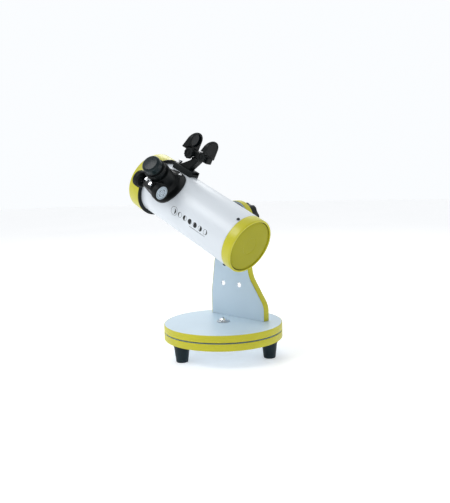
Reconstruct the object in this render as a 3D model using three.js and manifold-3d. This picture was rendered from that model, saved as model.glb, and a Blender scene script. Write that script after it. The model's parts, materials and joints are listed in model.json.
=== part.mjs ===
// Tabletop Newtonian reflector telescope on a single-arm alt-azimuth mount.
// Millimetres, +Z up, origin on the table under the centre of the base.
// The tube points towards -X and the arm stands on the +Y side of it.
import * as THREE from 'three';
import { mergeVertices } from 'three/addons/utils/BufferGeometryUtils.js';
import Module from 'manifold-3d';

const wasm = await Module();
wasm.setup();

// ---- clearances -------------------------------------------------------------------------
const GAP = 0.3;            // between pieces that touch or turn on each other
const LINE_GAP = 0.35;      // between a faceted bore and the faceted rod in it
const SCREW_R = 1.6;        // small screws

// ---- base -------------------------------------------------------------------------------
const DISC_R = 108;         // both boards, edge band included
const BOARD_T = 12.5;       // melamine board thickness
const BAND_T = 1.2;         // edge band thickness
const FOOT_H = 31;
const FOOT_TOP_R = 14.6;
const FOOT_BOTTOM_R = 10.6;
const FOOT_INSET = 18;      // feet centres in from the edge
const FOOT_ANGLE = 18.8;    // degrees from +X to the first foot
const PAD_T = 2;            // glide pads between the boards
const PAD_R = 11;
const PAD_INSET = 30;
const PIVOT_R = 5;          // centre bolt shank
const PIVOT_WASHER_R = 12;
const PIVOT_HEAD_R = 7;

// ---- arm --------------------------------------------------------------------------------
const ARM_FACE_Y = 43;      // face towards the tube
const ARM_T = 13;
const ARM_LEFT = -70;       // foot of the arm, edge band included
const ARM_RIGHT = 62.5;
const HEAD_R = 34.2;        // round head of the arm
const AXIS_X = -4.5;        // altitude axis
const AXIS_RISE = 184.6;    // altitude axis above the foot of the arm
const DOWEL_X = [-38.5, 2];
const DOWEL_Z = 61.5;       // cross dowels above the turntable
const DOWEL_R = 5;
const ARM_BOLT_R = 3;

// ---- tube -------------------------------------------------------------------------------
const ALTITUDE = 24.46;     // degrees, at rest
const HUB_RISE = 9.65;      // from the tube's skin to the arm
const TUBE_R = 50;
const TUBE_WALL = 1.2;
const TUBE_REAR = -79;      // along the tube from the altitude axis, front positive
const TUBE_FRONT = 157;
const HUB_R = 32;
const WASHER_T = 1.2;
const ALT_BOLT_R = 4;
const KNOB_R = 29;
const KNOB_T = 24;
const KNOB_LOBES = 8;

// ---- front cell -------------------------------------------------------------------------
const CELL_RISE = 7;        // front cell beyond the tube's skin
const CELL_WALL = 2;
const CELL_REACH = 19;      // front cell beyond the tube's mouth
const COLLAR_LENGTH = 12.5; // front ring along the tube
const FLANGE_T = 2;
const FILM_MARGIN = 6;      // between the film and the cell's wall
const FILM_T = 1;
const APERTURE_R = 42;

// ---- rear -------------------------------------------------------------------------------
const REAR_REACH = 19.5;    // rear ring beyond the tube
const SPIGOT_LENGTH = 11;   // rear ring inside the tube
const RIM_W = 4.8;          // from the tube's skin to the rear cover
const COVER_GAP = 1.3;      // groove round the cover
const COVER_T = 3;
const COVER_SINK = 2;
const MIRROR_MARGIN = 9;    // between the mirror's edge and the tube's skin
const MIRROR_T = 11;
const MIRROR_FOCAL = 300;
const CELL_SCREW_INSET = 4; // from the tube's rear end
const CELL_SCREW_ANGLES = [59, 179, 299];

// ---- focuser ----------------------------------------------------------------------------
const FOCUS_ANGLE = 38.7;   // round the tube from the side facing -Y, towards the top
const FOCUS_S = 98.5;
const FLANGE_LONG = 16.5;   // saddle beyond the barrel, along the tube
const FLANGE_WIDE = 12.5;   // and round it
const SADDLE_T = 3;
const BODY_WALL = 4.4;      // barrel wall beyond the drawtube
const BODY_RISE = 35;       // top of the body above the tube's skin
const DRAW_WALL = 1.45;
const DRAW_SINK = 3;        // lower end of the drawtube above the tube's skin
const COLLAR_RISE = 5.5;    // collar above the body
const COLLAR_H = 7.5;
const COLLAR_WALL = 1.9;
const TEETH = 12;
const PITCH_R = 4.8;
const SHAFT_DROP = 8;       // pinion shaft below the top of the body
const RACK_T = 1.2;         // rack behind its teeth
const TOOTH_TIP = 0.6;      // beyond the pitch line
const TOOTH_ROOT = 1.1;     // inside the pitch line
const SHAFT_R = 2.4;
const FOCUS_KNOB_R = 15.5;
const FOCUS_KNOB_T = 13;
const KNOB_SPAN = 67.7;     // over the outer faces of both focus knobs
const LOCK_X = -8;
const LOCK_INSET = 0.5;     // lock screw in from the pinion shaft
const SET_SCREW_DROP = 3.5; // below the top of the collar
const FLANGE_SCREW_OUT = 7.418; // flange screws beyond the barrel, round the tube
const FLANGE_SCREW_S = 7;   // and along it from the focuser's axis

// ---- eyepiece ---------------------------------------------------------------------------
const BARREL_R = 15.8;
const BARREL_WALL = 1.6;
const BARREL_LENGTH = 26;
const EYE_STEP = 0.6;       // eyepiece body inside the barrel's width
const EYE_BORE_R = 10;
const EYE_RISE = 12;        // eyepiece above the collar
const CAP_WALL = 1.45;
const CAP_T = 5.5;          // cap above the eyepiece

// ---- secondary --------------------------------------------------------------------------
const SECONDARY_R = 13;
const VANE_T = 1.2;
const VANE_W = 9;

// ---- finder -----------------------------------------------------------------------------
const FINDER_PAST_SADDLE = 18.963; // degrees from the saddle's edge to the finder
const SHOE_REAR = 80;
const SHOE_LENGTH = 49.5;
const SHOE_STOP = 7.5;      // solid front end of the shoe, with the screw in it
const SHOE_FLOOR_DROP = 4.6; // depth of the dovetail channel
const FOOT_LENGTH = 33;     // stalk's dovetail foot
const FOOT_START = 4;       // in front of the shoe's rear end
const STALK_LEAN = 13;      // rear edge of the stalk, top behind foot
const SHOE_HALF = 11.5;
const STALK_HALF = 7.2;
const SHOE_RISE = 10;       // above the tube's skin, as the next three
const BAR_RISE = 35;
const SIGHT_RISE = 62;
const HOOD_R = 15.2;
const HOOD_WALL = 1.8;
const FRONT_HOOD = 26;      // in front of the shoe's rear end
const REAR_HOOD = -17.4;
const BAR_OVERHANG = 22;    // behind the shoe
const BAR_LENGTH = 58;
const BAR_H = 12;
const BAR_HALF = 7;
const WHEEL_T = 6.5;
const AXLE_R = 2.2;

// ---- places that follow from the sizes above ---------------------------------------------
const groundBottom = FOOT_H + GAP;
const groundTop = groundBottom + BOARD_T;
const tableBottom = groundTop + PAD_T + GAP;
const tableTop = tableBottom + BOARD_T;
const armBase = tableTop + GAP;
const axisZ = armBase + AXIS_RISE;
const tubeY = ARM_FACE_Y - HUB_RISE - TUBE_R;

const cellR = TUBE_R + CELL_RISE;
const cellFront = TUBE_FRONT + CELL_REACH;
const flangeS = TUBE_FRONT - COLLAR_LENGTH;
const rearEnd = TUBE_REAR - REAR_REACH;
const coverR = TUBE_R - RIM_W;
const mirrorR = TUBE_R - MIRROR_MARGIN;
const cellScrewS = TUBE_REAR + CELL_SCREW_INSET;

const drawBoreR = BARREL_R + LINE_GAP;
const drawR = drawBoreR + DRAW_WALL;
const bodyR = drawR + BODY_WALL;
const focusHoleR = bodyR - 2;
const bodyTop = TUBE_R + BODY_RISE;
const drawBottom = TUBE_R + DRAW_SINK;
const collarR = drawR + COLLAR_WALL;
const saddleR = TUBE_R + GAP + SADDLE_T;
const saddleTurn = THREE.MathUtils.radToDeg(Math.asin((bodyR + FLANGE_WIDE) / saddleR));
const finderAngle = FOCUS_ANGLE + saddleTurn + FINDER_PAST_SADDLE;
const flangeScrewTurn = THREE.MathUtils.radToDeg(Math.asin((bodyR + FLANGE_SCREW_OUT) / saddleR));
const flangeScrews = [[-FLANGE_SCREW_S, flangeScrewTurn], [FLANGE_SCREW_S, -flangeScrewTurn]];
const collarBottom = bodyTop + COLLAR_RISE;
const collarTop = collarBottom + COLLAR_H;
const rackLineY = drawR + GAP + RACK_T + TOOTH_ROOT;
const shaftY = rackLineY + PITCH_R;
const shaftH = bodyTop - SHAFT_DROP;
const setScrewH = collarTop - SET_SCREW_DROP;
const eyeR = BARREL_R - EYE_STEP;
const eyeTop = collarTop + EYE_RISE;
const capR = eyeR + LINE_GAP + CAP_WALL;

const vaneAngles = [60, 180, 300].map((degrees) => FOCUS_ANGLE + degrees);
const shoeTop = TUBE_R + SHOE_RISE;
const shoeFront = SHOE_REAR + SHOE_LENGTH;
const sightH = TUBE_R + SIGHT_RISE;
const barBottom = TUBE_R + BAR_RISE;
const barTop = barBottom + BAR_H;
const frontHoodS = SHOE_REAR + FRONT_HOOD;
const rearHoodS = SHOE_REAR + REAR_HOOD;

// ---- materials --------------------------------------------------------------------------
function paint(color, roughness, metalness) {
  return new THREE.MeshStandardMaterial({ color, roughness, metalness });
}

const white = paint(0xdfe8ee, 0.35, 0);
const lime = paint(0xc3c92c, 0.4, 0);
const black = paint(0x16191a, 0.45, 0);
const slate = paint(0x1f2c30, 0.6, 0);
const steel = paint(0xb9bdc0, 0.3, 0.9);
const gloss = paint(0xd9dcdf, 0.15, 1);
const glass = paint(0x9fb4c0, 0.05, 0.1);

// ---- shapes -----------------------------------------------------------------------------
const turn = THREE.MathUtils.degToRad;
// Facets round a full turn: boards and tube, barrels, knobs, screws.
const BIG = 48;
const FINE = 32;
const MID = 20;
const SMALL = 12;

function toSolid(geometry) {
  const bare = geometry.clone();
  bare.deleteAttribute('normal');
  bare.deleteAttribute('uv');
  const merged = mergeVertices(bare, 1e-4);
  const corners = [];
  for (let i = 0; i < merged.index.count; i += 3) {
    const [a, b, c] = merged.index.array.slice(i, i + 3);
    if (a !== b && b !== c && c !== a) {
      corners.push(a, b, c);
    }
  }
  return new wasm.Manifold(new wasm.Mesh({
    numProp: 3,
    vertProperties: Float32Array.from(merged.attributes.position.array),
    triVerts: Uint32Array.from(corners),
  }));
}

function fromSolid(solid) {
  const mesh = solid.getMesh();
  const geometry = new THREE.BufferGeometry();
  geometry.setAttribute('position', new THREE.BufferAttribute(Float32Array.from(mesh.vertProperties), 3));
  geometry.setIndex(new THREE.BufferAttribute(Uint32Array.from(mesh.triVerts), 1));
  return geometry;
}

const cut = (body, ...tools) => fromSolid(tools.reduce((s, t) => s.subtract(toSolid(t)), toSolid(body)));
const join = (body, ...others) => fromSolid(others.reduce((s, t) => s.add(toSolid(t)), toSolid(body)));
const overlap = (a, b) => fromSolid(toSolid(a).intersect(toSolid(b)));

// A turned piece about Z, from [radius, height] pairs that run up the outside.
function turned(profile, segments = MID) {
  const points = profile.map(([r, z]) => new THREE.Vector2(r, z));
  return new THREE.LatheGeometry(points, segments).rotateX(Math.PI / 2);
}

const rod = (r, z0, z1, segments = MID) => turned([[0, z0], [r, z0], [r, z1], [0, z1]], segments);

function ring(r0, r1, z0, z1, segments = MID) {
  return turned([[r0, z0], [r1, z0], [r1, z1], [r0, z1], [r0, z0]], segments);
}

function box(x0, x1, y0, y1, z0, z1) {
  return new THREE.BoxGeometry(x1 - x0, y1 - y0, z1 - z0)
    .translate((x0 + x1) / 2, (y0 + y1) / 2, (z0 + z1) / 2);
}

function prism(shape, z0, z1, curveSegments = 12) {
  return new THREE.ExtrudeGeometry(shape, { depth: z1 - z0, bevelEnabled: false, curveSegments })
    .translate(0, 0, z0);
}

const polygon = (points) => new THREE.Shape(points.map(([x, y]) => new THREE.Vector2(x, y)));

// Pieces made about Z, laid along X or Y.
const alongX = (geometry) => geometry.rotateY(Math.PI / 2);
const alongY = (geometry) => geometry.rotateX(-Math.PI / 2);
// A shape drawn in X and Z, with its thickness from y0 to y1.
const upright = (shape, y0, y1) => prism(shape, -y1, -y0).rotateX(Math.PI / 2);

const telescope = new THREE.Group();

function add(parent, name, geometry, material) {
  const mesh = new THREE.Mesh(geometry, material);
  mesh.name = name;
  parent.add(mesh);
}

// ---- base -------------------------------------------------------------------------------
const boardR = DISC_R - BAND_T - GAP;

function board(z0, z1) {
  return ring(PIVOT_R + LINE_GAP, boardR, z0, z1, BIG);
}

function edgeBand(z0, z1) {
  const ease = 0.6;
  return turned([
    [DISC_R - BAND_T, z0], [DISC_R - ease, z0], [DISC_R, z0 + ease],
    [DISC_R, z1 - ease], [DISC_R - ease, z1], [DISC_R - BAND_T, z1], [DISC_R - BAND_T, z0],
  ], BIG);
}

function onRing(geometry, radius, degrees) {
  return geometry.translate(radius * Math.cos(turn(degrees)), radius * Math.sin(turn(degrees)), 0);
}

add(telescope, 'ground_board', board(groundBottom, groundTop), white);
add(telescope, 'ground_edge_band', edgeBand(groundBottom, groundTop), lime);
for (let i = 0; i < 3; i += 1) {
  const degrees = FOOT_ANGLE + 120 * i;
  const foot = turned([
    [0, 6], [4.5, 6], [4.5, 0], [FOOT_BOTTOM_R - 1, 0], [FOOT_BOTTOM_R, 1],
    [FOOT_TOP_R, FOOT_H], [0, FOOT_H],
  ], MID);
  add(telescope, `foot_${i + 1}`, onRing(foot, DISC_R - FOOT_INSET, degrees), slate);
  const pad = turned([[0, groundTop + GAP], [PAD_R, groundTop + GAP], [PAD_R, groundTop + PAD_T - 0.5],
    [PAD_R - 0.5, groundTop + PAD_T], [0, groundTop + PAD_T]], SMALL);
  add(telescope, `glide_pad_${i + 1}`, onRing(pad, DISC_R - PAD_INSET, degrees + 60), black);
}

const washerTop = tableTop + GAP + 1.6;
const nutTop = groundBottom - GAP;
const pivotBolt = turned([
  [0, nutTop - 12], [PIVOT_R, nutTop - 12], [PIVOT_R, washerTop + GAP], [PIVOT_HEAD_R, washerTop + GAP],
  [PIVOT_HEAD_R, washerTop + 2.6], [PIVOT_HEAD_R * 0.72, washerTop + 4.6], [0, washerTop + 5.6],
], MID);
add(telescope, 'pivot_bolt', pivotBolt, gloss);
add(telescope, 'pivot_washer', ring(PIVOT_R + LINE_GAP, PIVOT_WASHER_R, tableTop + GAP, washerTop), steel);
const nutHole = rod(PIVOT_R + LINE_GAP, nutTop - 20, nutTop + 1, MID);
add(telescope, 'pivot_nut', cut(rod(9.5, nutTop - 8, nutTop, 6), nutHole), steel);

// ---- turntable and arm ------------------------------------------------------------------
const armFarY = ARM_FACE_Y + ARM_T;
const armMidY = ARM_FACE_Y + ARM_T / 2;

function armBoltAt(x, geometry) {
  return geometry.translate(x, armMidY, 0);
}

const boltHeadTop = tableBottom + 4;
const tableCuts = DOWEL_X.flatMap((x) => [
  armBoltAt(x, rod(ARM_BOLT_R + LINE_GAP, tableBottom - 1, tableTop + 1, SMALL)),
  armBoltAt(x, rod(6.2, tableBottom - 1, boltHeadTop + GAP, SMALL)),
]);
add(telescope, 'turntable_board', cut(board(tableBottom, tableTop), ...tableCuts), white);
add(telescope, 'turntable_edge_band', edgeBand(tableBottom, tableTop), lime);

// Outline of the arm in X and height above its foot, drawn up the -X side and down the +X side.
function armPath() {
  const path = new THREE.Path();
  path.moveTo(ARM_LEFT, 0);
  path.lineTo(ARM_LEFT, 43);
  path.lineTo(ARM_LEFT + 8.8, 100.6);
  path.bezierCurveTo(ARM_LEFT + 13, 128, AXIS_X - HEAD_R, 150, AXIS_X - HEAD_R, AXIS_RISE);
  path.absarc(AXIS_X, AXIS_RISE, HEAD_R, Math.PI, 0, true);
  path.bezierCurveTo(AXIS_X + HEAD_R, 160, ARM_RIGHT - 38, 135, ARM_RIGHT - 38, 105);
  path.bezierCurveTo(ARM_RIGHT - 38, 88, ARM_RIGHT - 35, 79, ARM_RIGHT - 28.5, 69.4);
  path.lineTo(ARM_RIGHT - 7.5, 39);
  path.bezierCurveTo(ARM_RIGHT - 2.5, 31.5, ARM_RIGHT, 27, ARM_RIGHT, 17);
  path.lineTo(ARM_RIGHT, 0);
  return path.getPoints(10).filter((p, i, all) => i === 0 || p.distanceTo(all[i - 1]) > 0.01);
}

// The same outline moved inwards by a distance, its ends kept on the foot.
function armInset(distance) {
  const outline = armPath();
  return outline.map((p, i) => {
    const before = outline[Math.max(i - 1, 0)];
    const after = outline[Math.min(i + 1, outline.length - 1)];
    const a = p.clone().sub(before).normalize();
    const b = after.clone().sub(p).normalize();
    const along = a.clone().add(b).normalize();
    const half = Math.max(0.7, along.dot(b.lengthSq() > 0 ? b : a));
    return new THREE.Vector2(p.x + along.y * distance / half, p.y - along.x * distance / half);
  });
}

const armShape = new THREE.Shape(armInset(BAND_T + GAP));
const pivotHole = new THREE.Path();
pivotHole.absarc(AXIS_X, AXIS_RISE, ALT_BOLT_R + LINE_GAP, 0, Math.PI * 2, false);
armShape.holes.push(pivotHole);
for (const x of DOWEL_X) {
  const hole = new THREE.Path();
  hole.absarc(x, DOWEL_Z, DOWEL_R + LINE_GAP, 0, Math.PI * 2, false);
  armShape.holes.push(hole);
}
const armDrill = rod(ARM_BOLT_R + LINE_GAP, armBase - 1, armBase + DOWEL_Z, SMALL);
const armDrills = DOWEL_X.map((x) => armBoltAt(x, armDrill.clone()));
const armBlank = upright(armShape, ARM_FACE_Y, armFarY).translate(0, 0, armBase);
add(telescope, 'arm_board', cut(armBlank, ...armDrills), white);
const bandShape = new THREE.Shape([...armInset(0), ...armInset(BAND_T).reverse()]);
add(telescope, 'arm_edge_band', upright(bandShape, ARM_FACE_Y, armFarY).translate(0, 0, armBase), lime);

DOWEL_X.forEach((x, i) => {
  const bolt = turned([
    [0, tableBottom + 0.4], [5.8, tableBottom + 0.4], [5.8, boltHeadTop], [ARM_BOLT_R, boltHeadTop],
    [ARM_BOLT_R, armBase + DOWEL_Z + 2], [0, armBase + DOWEL_Z + 2],
  ], SMALL);
  add(telescope, `arm_bolt_${i + 1}`, armBoltAt(x, bolt), steel);
  const dowel = alongY(turned([[0, 0.4], [DOWEL_R, 0.4], [DOWEL_R, ARM_T - 0.4], [0, ARM_T - 0.4]], SMALL))
    .translate(x, ARM_FACE_Y, armBase + DOWEL_Z);
  const boltHole = armBoltAt(x, rod(ARM_BOLT_R + LINE_GAP, armBase, armBase + DOWEL_Z + 3, SMALL));
  add(telescope, `cross_dowel_${i + 1}`, cut(dowel, boltHole), gloss);
});

// ---- tube frame: local Z runs to the front, local X faces -Y, local Y is the top ---------
const tubeFrame = new THREE.Group();
const front = new THREE.Vector3(-Math.cos(turn(ALTITUDE)), 0, Math.sin(turn(ALTITUDE)));
const side = new THREE.Vector3(0, -1, 0);
const top = new THREE.Vector3().crossVectors(front, side);
tubeFrame.quaternion.setFromRotationMatrix(new THREE.Matrix4().makeBasis(side, top, front));
tubeFrame.position.set(AXIS_X, tubeY, axisZ);
telescope.add(tubeFrame);

// Matrix of a radial frame: local X runs to the front, local Z out from the tube axis.
function radialMatrix(degrees) {
  const out = new THREE.Vector3(Math.cos(turn(degrees)), Math.sin(turn(degrees)), 0);
  const along = new THREE.Vector3(0, 0, 1);
  return new THREE.Matrix4().makeBasis(along, new THREE.Vector3().crossVectors(out, along), out);
}

function radialGroup(degrees) {
  const group = new THREE.Group();
  group.quaternion.setFromRotationMatrix(radialMatrix(degrees));
  tubeFrame.add(group);
  return group;
}

const radialTool = (geometry, degrees) => geometry.applyMatrix4(radialMatrix(degrees));
const tubeRod = (r) => alongX(rod(r, -200, 200, BIG));

// ---- optical tube -----------------------------------------------------------------------
const flangeScrewAngles = flangeScrews.map(([, degrees]) => FOCUS_ANGLE + degrees);
const screwDrill = (s) => rod(SCREW_R + LINE_GAP, TUBE_R - 20, TUBE_R + 20, SMALL).translate(s, 0, 0);

add(tubeFrame, 'optical_tube', cut(
  ring(TUBE_R - TUBE_WALL, TUBE_R, TUBE_REAR, TUBE_FRONT, BIG),
  radialTool(rod(focusHoleR, 30, TUBE_R + 20).translate(FOCUS_S, 0, 0), FOCUS_ANGLE),
  ...flangeScrews.map(([dx], i) => radialTool(screwDrill(FOCUS_S + dx), flangeScrewAngles[i])),
  ...CELL_SCREW_ANGLES.map((degrees) => radialTool(screwDrill(cellScrewS), degrees)),
), white);

// ---- altitude bearing -------------------------------------------------------------------
const bearing = radialGroup(180);
const armNear = ARM_FACE_Y - tubeY;
const armFar = armFarY - tubeY;
const hubTop = armNear - GAP - WASHER_T - GAP;
const hubBlank = turned([[ALT_BOLT_R + LINE_GAP, 20], [HUB_R, 20], [HUB_R, hubTop - 1], [HUB_R - 1, hubTop],
  [ALT_BOLT_R + LINE_GAP, hubTop], [ALT_BOLT_R + LINE_GAP, 20]], FINE);
add(bearing, 'altitude_hub', cut(hubBlank, tubeRod(TUBE_R + GAP)), black);
const washerBase = hubTop + GAP;
const washer = ring(ALT_BOLT_R + LINE_GAP, HUB_R - 2, washerBase, washerBase + WASHER_T);
add(bearing, 'altitude_washer', washer, slate);
const knobBase = armFar + GAP;
const boltStart = TUBE_R + GAP + 0.5;
add(bearing, 'altitude_bolt', rod(ALT_BOLT_R, boltStart, knobBase + KNOB_T - 6, SMALL), steel);

function lobedKnob() {
  const shape = new THREE.Shape();
  const steps = KNOB_LOBES * 8;
  const dip = 1.6;
  for (let i = 0; i < steps; i += 1) {
    const angle = (2 * Math.PI * i) / steps;
    const lobe = Math.cos(KNOB_LOBES * (angle - turn(15)));
    const r = KNOB_R - dip + dip * Math.tanh(1.8 * lobe);
    const point = [r * Math.cos(angle), r * Math.sin(angle)];
    if (i === 0) {
      shape.moveTo(...point);
    } else {
      shape.lineTo(...point);
    }
  }
  const collar = rod(14, knobBase, knobBase + 5);
  const grip = prism(shape, knobBase + 4, knobBase + KNOB_T);
  const bore = rod(ALT_BOLT_R + LINE_GAP, knobBase - 1, knobBase + KNOB_T - 5, SMALL);
  return cut(join(grip, collar), bore);
}
add(bearing, 'altitude_knob', lobedKnob(), black);

// ---- front ring and filter cell ---------------------------------------------------------
const ringBore = TUBE_R + LINE_GAP;
const sleeveR = cellR - CELL_WALL - LINE_GAP;
const cellRear = flangeS + FLANGE_T + GAP;
add(tubeFrame, 'front_ring', turned([
  [ringBore, flangeS], [cellR - 1, flangeS], [cellR, flangeS + 1], [cellR, flangeS + FLANGE_T],
  [sleeveR, flangeS + FLANGE_T], [sleeveR, TUBE_FRONT], [ringBore, TUBE_FRONT], [ringBore, flangeS],
], BIG), black);
const lipRear = cellFront - 3.5;
add(tubeFrame, 'filter_cell', turned([
  [cellR - CELL_WALL, cellRear], [cellR, cellRear], [cellR, cellFront - 3], [cellR - 3, cellFront],
  [APERTURE_R + 1, cellFront], [APERTURE_R, cellFront - 1], [APERTURE_R, lipRear],
  [cellR - CELL_WALL, lipRear], [cellR - CELL_WALL, cellRear],
], BIG), lime);
const filmRear = lipRear - GAP - FILM_T;
add(tubeFrame, 'solar_film', rod(cellR - CELL_WALL - FILM_MARGIN, filmRear, filmRear + FILM_T, FINE), gloss);
add(tubeFrame, 'film_retainer', ring(APERTURE_R + 2, cellR - CELL_WALL - GAP, filmRear - GAP - 3,
  filmRear - GAP, BIG), black);

// ---- rear ring, cover and primary mirror ------------------------------------------------
const spigotR = TUBE_R - TUBE_WALL - LINE_GAP;
const spigotFront = TUBE_REAR + SPIGOT_LENGTH;
const ringFront = TUBE_REAR - GAP;
const rearBore = mirrorR + 3.5;
const coverSeat = rearEnd + COVER_SINK + COVER_T + GAP;
const rearRing = turned([
  [coverR + COVER_GAP, rearEnd + 0.4], [TUBE_R - 3, rearEnd], [TUBE_R - 1, rearEnd + 0.7],
  [TUBE_R, rearEnd + 2.6],
  [TUBE_R, ringFront], [spigotR, ringFront], [spigotR, spigotFront], [rearBore, spigotFront],
  [rearBore, coverSeat], [coverR + COVER_GAP, coverSeat], [coverR + COVER_GAP, rearEnd + 0.4],
], BIG);
add(tubeFrame, 'rear_ring', cut(rearRing,
  ...CELL_SCREW_ANGLES.map((degrees) => radialTool(screwDrill(cellScrewS), degrees))), lime);
const coverRear = rearEnd + COVER_SINK;
add(tubeFrame, 'rear_cover', turned([[0, coverRear], [coverR - 1, coverRear], [coverR, coverRear + 1],
  [coverR, coverRear + COVER_T], [0, coverRear + COVER_T]], BIG), lime);

const cellFloor = coverSeat + 0.6;
const cupR = rearBore - LINE_GAP;
const mirrorBack = cellFloor + 2.5 + GAP;
const mirrorFace = mirrorBack + MIRROR_T;
add(tubeFrame, 'mirror_cell', turned([
  [0, cellFloor], [cupR, cellFloor], [cupR, mirrorFace], [mirrorR + LINE_GAP, mirrorFace],
  [mirrorR + LINE_GAP, cellFloor + 2.5], [0, cellFloor + 2.5],
], FINE), black);

function mirrorProfile() {
  const curve = [];
  const sphere = 2 * MIRROR_FOCAL;
  const depth = (r) => sphere - Math.sqrt(sphere * sphere - r * r);
  for (let i = 0; i <= 6; i += 1) {
    const r = mirrorR * (1 - i / 6);
    curve.push([r, mirrorFace - GAP - depth(mirrorR) + depth(r)]);
  }
  return [[0, mirrorBack], [mirrorR, mirrorBack], ...curve];
}
add(tubeFrame, 'primary_mirror', turned(mirrorProfile(), FINE), glass);

CELL_SCREW_ANGLES.forEach((degrees, i) => {
  const screw = turned([
    [0, TUBE_R - 4], [SCREW_R, TUBE_R - 4], [SCREW_R, TUBE_R + GAP], [3, TUBE_R + GAP],
    [2.6, TUBE_R + 1.6], [1.2, TUBE_R + 2.2], [0, TUBE_R + 2.2],
  ], SMALL).translate(cellScrewS, 0, 0);
  add(radialGroup(degrees), `rear_screw_${i + 1}`, screw, steel);
});

// ---- spider and secondary mirror --------------------------------------------------------
const spiderRear = FOCUS_S + SECONDARY_R + 8;
const footOuter = TUBE_R - TUBE_WALL - LINE_GAP;
function vane(degrees) {
  const blade = box(spiderRear, spiderRear + VANE_W, -VANE_T / 2, VANE_T / 2, 5, footOuter - 0.6);
  const padBlock = box(spiderRear, spiderRear + VANE_W, -4, 4, footOuter - 4, footOuter + 1);
  const pad = overlap(padBlock, tubeRod(footOuter));
  return radialTool(join(blade, pad), degrees);
}
const spider = join(rod(10, spiderRear, spiderRear + 12), ...vaneAngles.map(vane));
const stalkR = 2.5;
add(tubeFrame, 'spider', cut(spider, rod(stalkR + LINE_GAP, spiderRear - 1, spiderRear + 13, SMALL)), black);

// Everything behind a plane at 45 degrees that faces the primary mirror and the focuser.
function slantedBlock(offset) {
  const size = 120;
  return new THREE.BoxGeometry(size, size, size)
    .translate(-size / 2, 0, 0)
    .rotateY(turn(-45))
    .translate(FOCUS_S + offset, 0, 0);
}
const mirrorPlate = 3;
const holderFront = spiderRear - GAP;
const holderBlank = join(alongX(rod(SECONDARY_R, FOCUS_S - 30, holderFront)),
  alongX(rod(stalkR, holderFront - 1, spiderRear + 14, SMALL)));
const platePitch = mirrorPlate * Math.SQRT2;
const secondary = radialGroup(FOCUS_ANGLE);
add(secondary, 'secondary_holder', cut(holderBlank, slantedBlock(platePitch + 0.5)), black);
const glassRod = alongX(rod(SECONDARY_R, FOCUS_S - 30, holderFront));
add(secondary, 'secondary_mirror', cut(overlap(glassRod, slantedBlock(platePitch)), slantedBlock(0)), glass);

// ---- focuser ----------------------------------------------------------------------------
const focuser = radialGroup(FOCUS_ANGLE);
const atFocus = (geometry) => geometry.translate(FOCUS_S, 0, 0);
const onShaft = (geometry) => alongX(geometry).translate(FOCUS_S, shaftY, shaftH);

const plan = new THREE.Shape();
plan.absellipse(0, 0, bodyR + FLANGE_LONG, bodyR + FLANGE_WIDE, 0, Math.PI * 2);
const saddle = overlap(atFocus(prism(plan, 20, TUBE_R + 20, FINE)), tubeRod(saddleR));
const flareR = bodyR + 4;
const barrelFoot = atFocus(turned([
  [0, TUBE_R - 10], [flareR, TUBE_R - 10], [flareR, TUBE_R + 4], [bodyR, TUBE_R + 10],
  [bodyR, bodyTop - 1], [bodyR - 1, bodyTop], [0, bodyTop],
], FINE));
const housing = atFocus(box(-12, 12, 12, shaftY + 8, TUBE_R, bodyTop - 1.5));
const rackSlot = atFocus(box(-4.5, 4.5, 10, rackLineY + 1.2, 30, bodyTop + 15));
const pinionRoom = onShaft(rod(PITCH_R + 1.6, -5, 5, MID));
const shaftBore = onShaft(rod(SHAFT_R + LINE_GAP, -20, 20, SMALL));
const lockTop = bodyTop - 1.5;
const lockY = shaftY - LOCK_INSET;
const lockDrill = atFocus(rod(1.8 + LINE_GAP, lockTop - 4, lockTop + 2, SMALL).translate(LOCK_X, lockY, 0));
add(focuser, 'focuser_body', cut(join(saddle, barrelFoot, housing), tubeRod(TUBE_R + GAP),
  atFocus(rod(drawR + LINE_GAP, 30, bodyTop + 15, FINE)), rackSlot, pinionRoom, shaftBore, lockDrill,
  ...flangeScrews.map(([dx, degrees]) => screwDrill(FOCUS_S + dx).rotateX(turn(degrees)))), black);

flangeScrews.forEach(([dx], i) => {
  const seat = saddleR + GAP;
  const screw = turned([
    [0, TUBE_R - 4], [SCREW_R, TUBE_R - 4], [SCREW_R, seat], [3.6, seat],
    [3.2, seat + 1.4], [1.6, seat + 2.2], [0, seat + 2.2],
  ], SMALL).translate(FOCUS_S + dx, 0, 0);
  add(radialGroup(flangeScrewAngles[i]), `flange_screw_${i + 1}`, screw, gloss);
});

const drawtube = turned([
  [drawBoreR, drawBottom], [drawR, drawBottom], [drawR, collarBottom], [collarR, collarBottom],
  [collarR, collarTop - 0.8], [collarR - 0.8, collarTop], [drawBoreR, collarTop], [drawBoreR, drawBottom],
], FINE);
const setDrill = alongY(rod(SCREW_R + LINE_GAP, 10, collarR + 10, SMALL)).translate(0, 0, setScrewH);
add(focuser, 'drawtube', atFocus(cut(drawtube, setDrill)), black);

// Rack teeth and pinion teeth share one pitch, and a gap of backlash on each flank.
const toothPitch = (2 * Math.PI * PITCH_R) / TEETH;
const toothHalf = toothPitch / 4 - 0.17;
const flank = Math.tan(turn(20));
const rackBottom = drawBottom + 3;
const rackTop = collarBottom - GAP;

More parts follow.
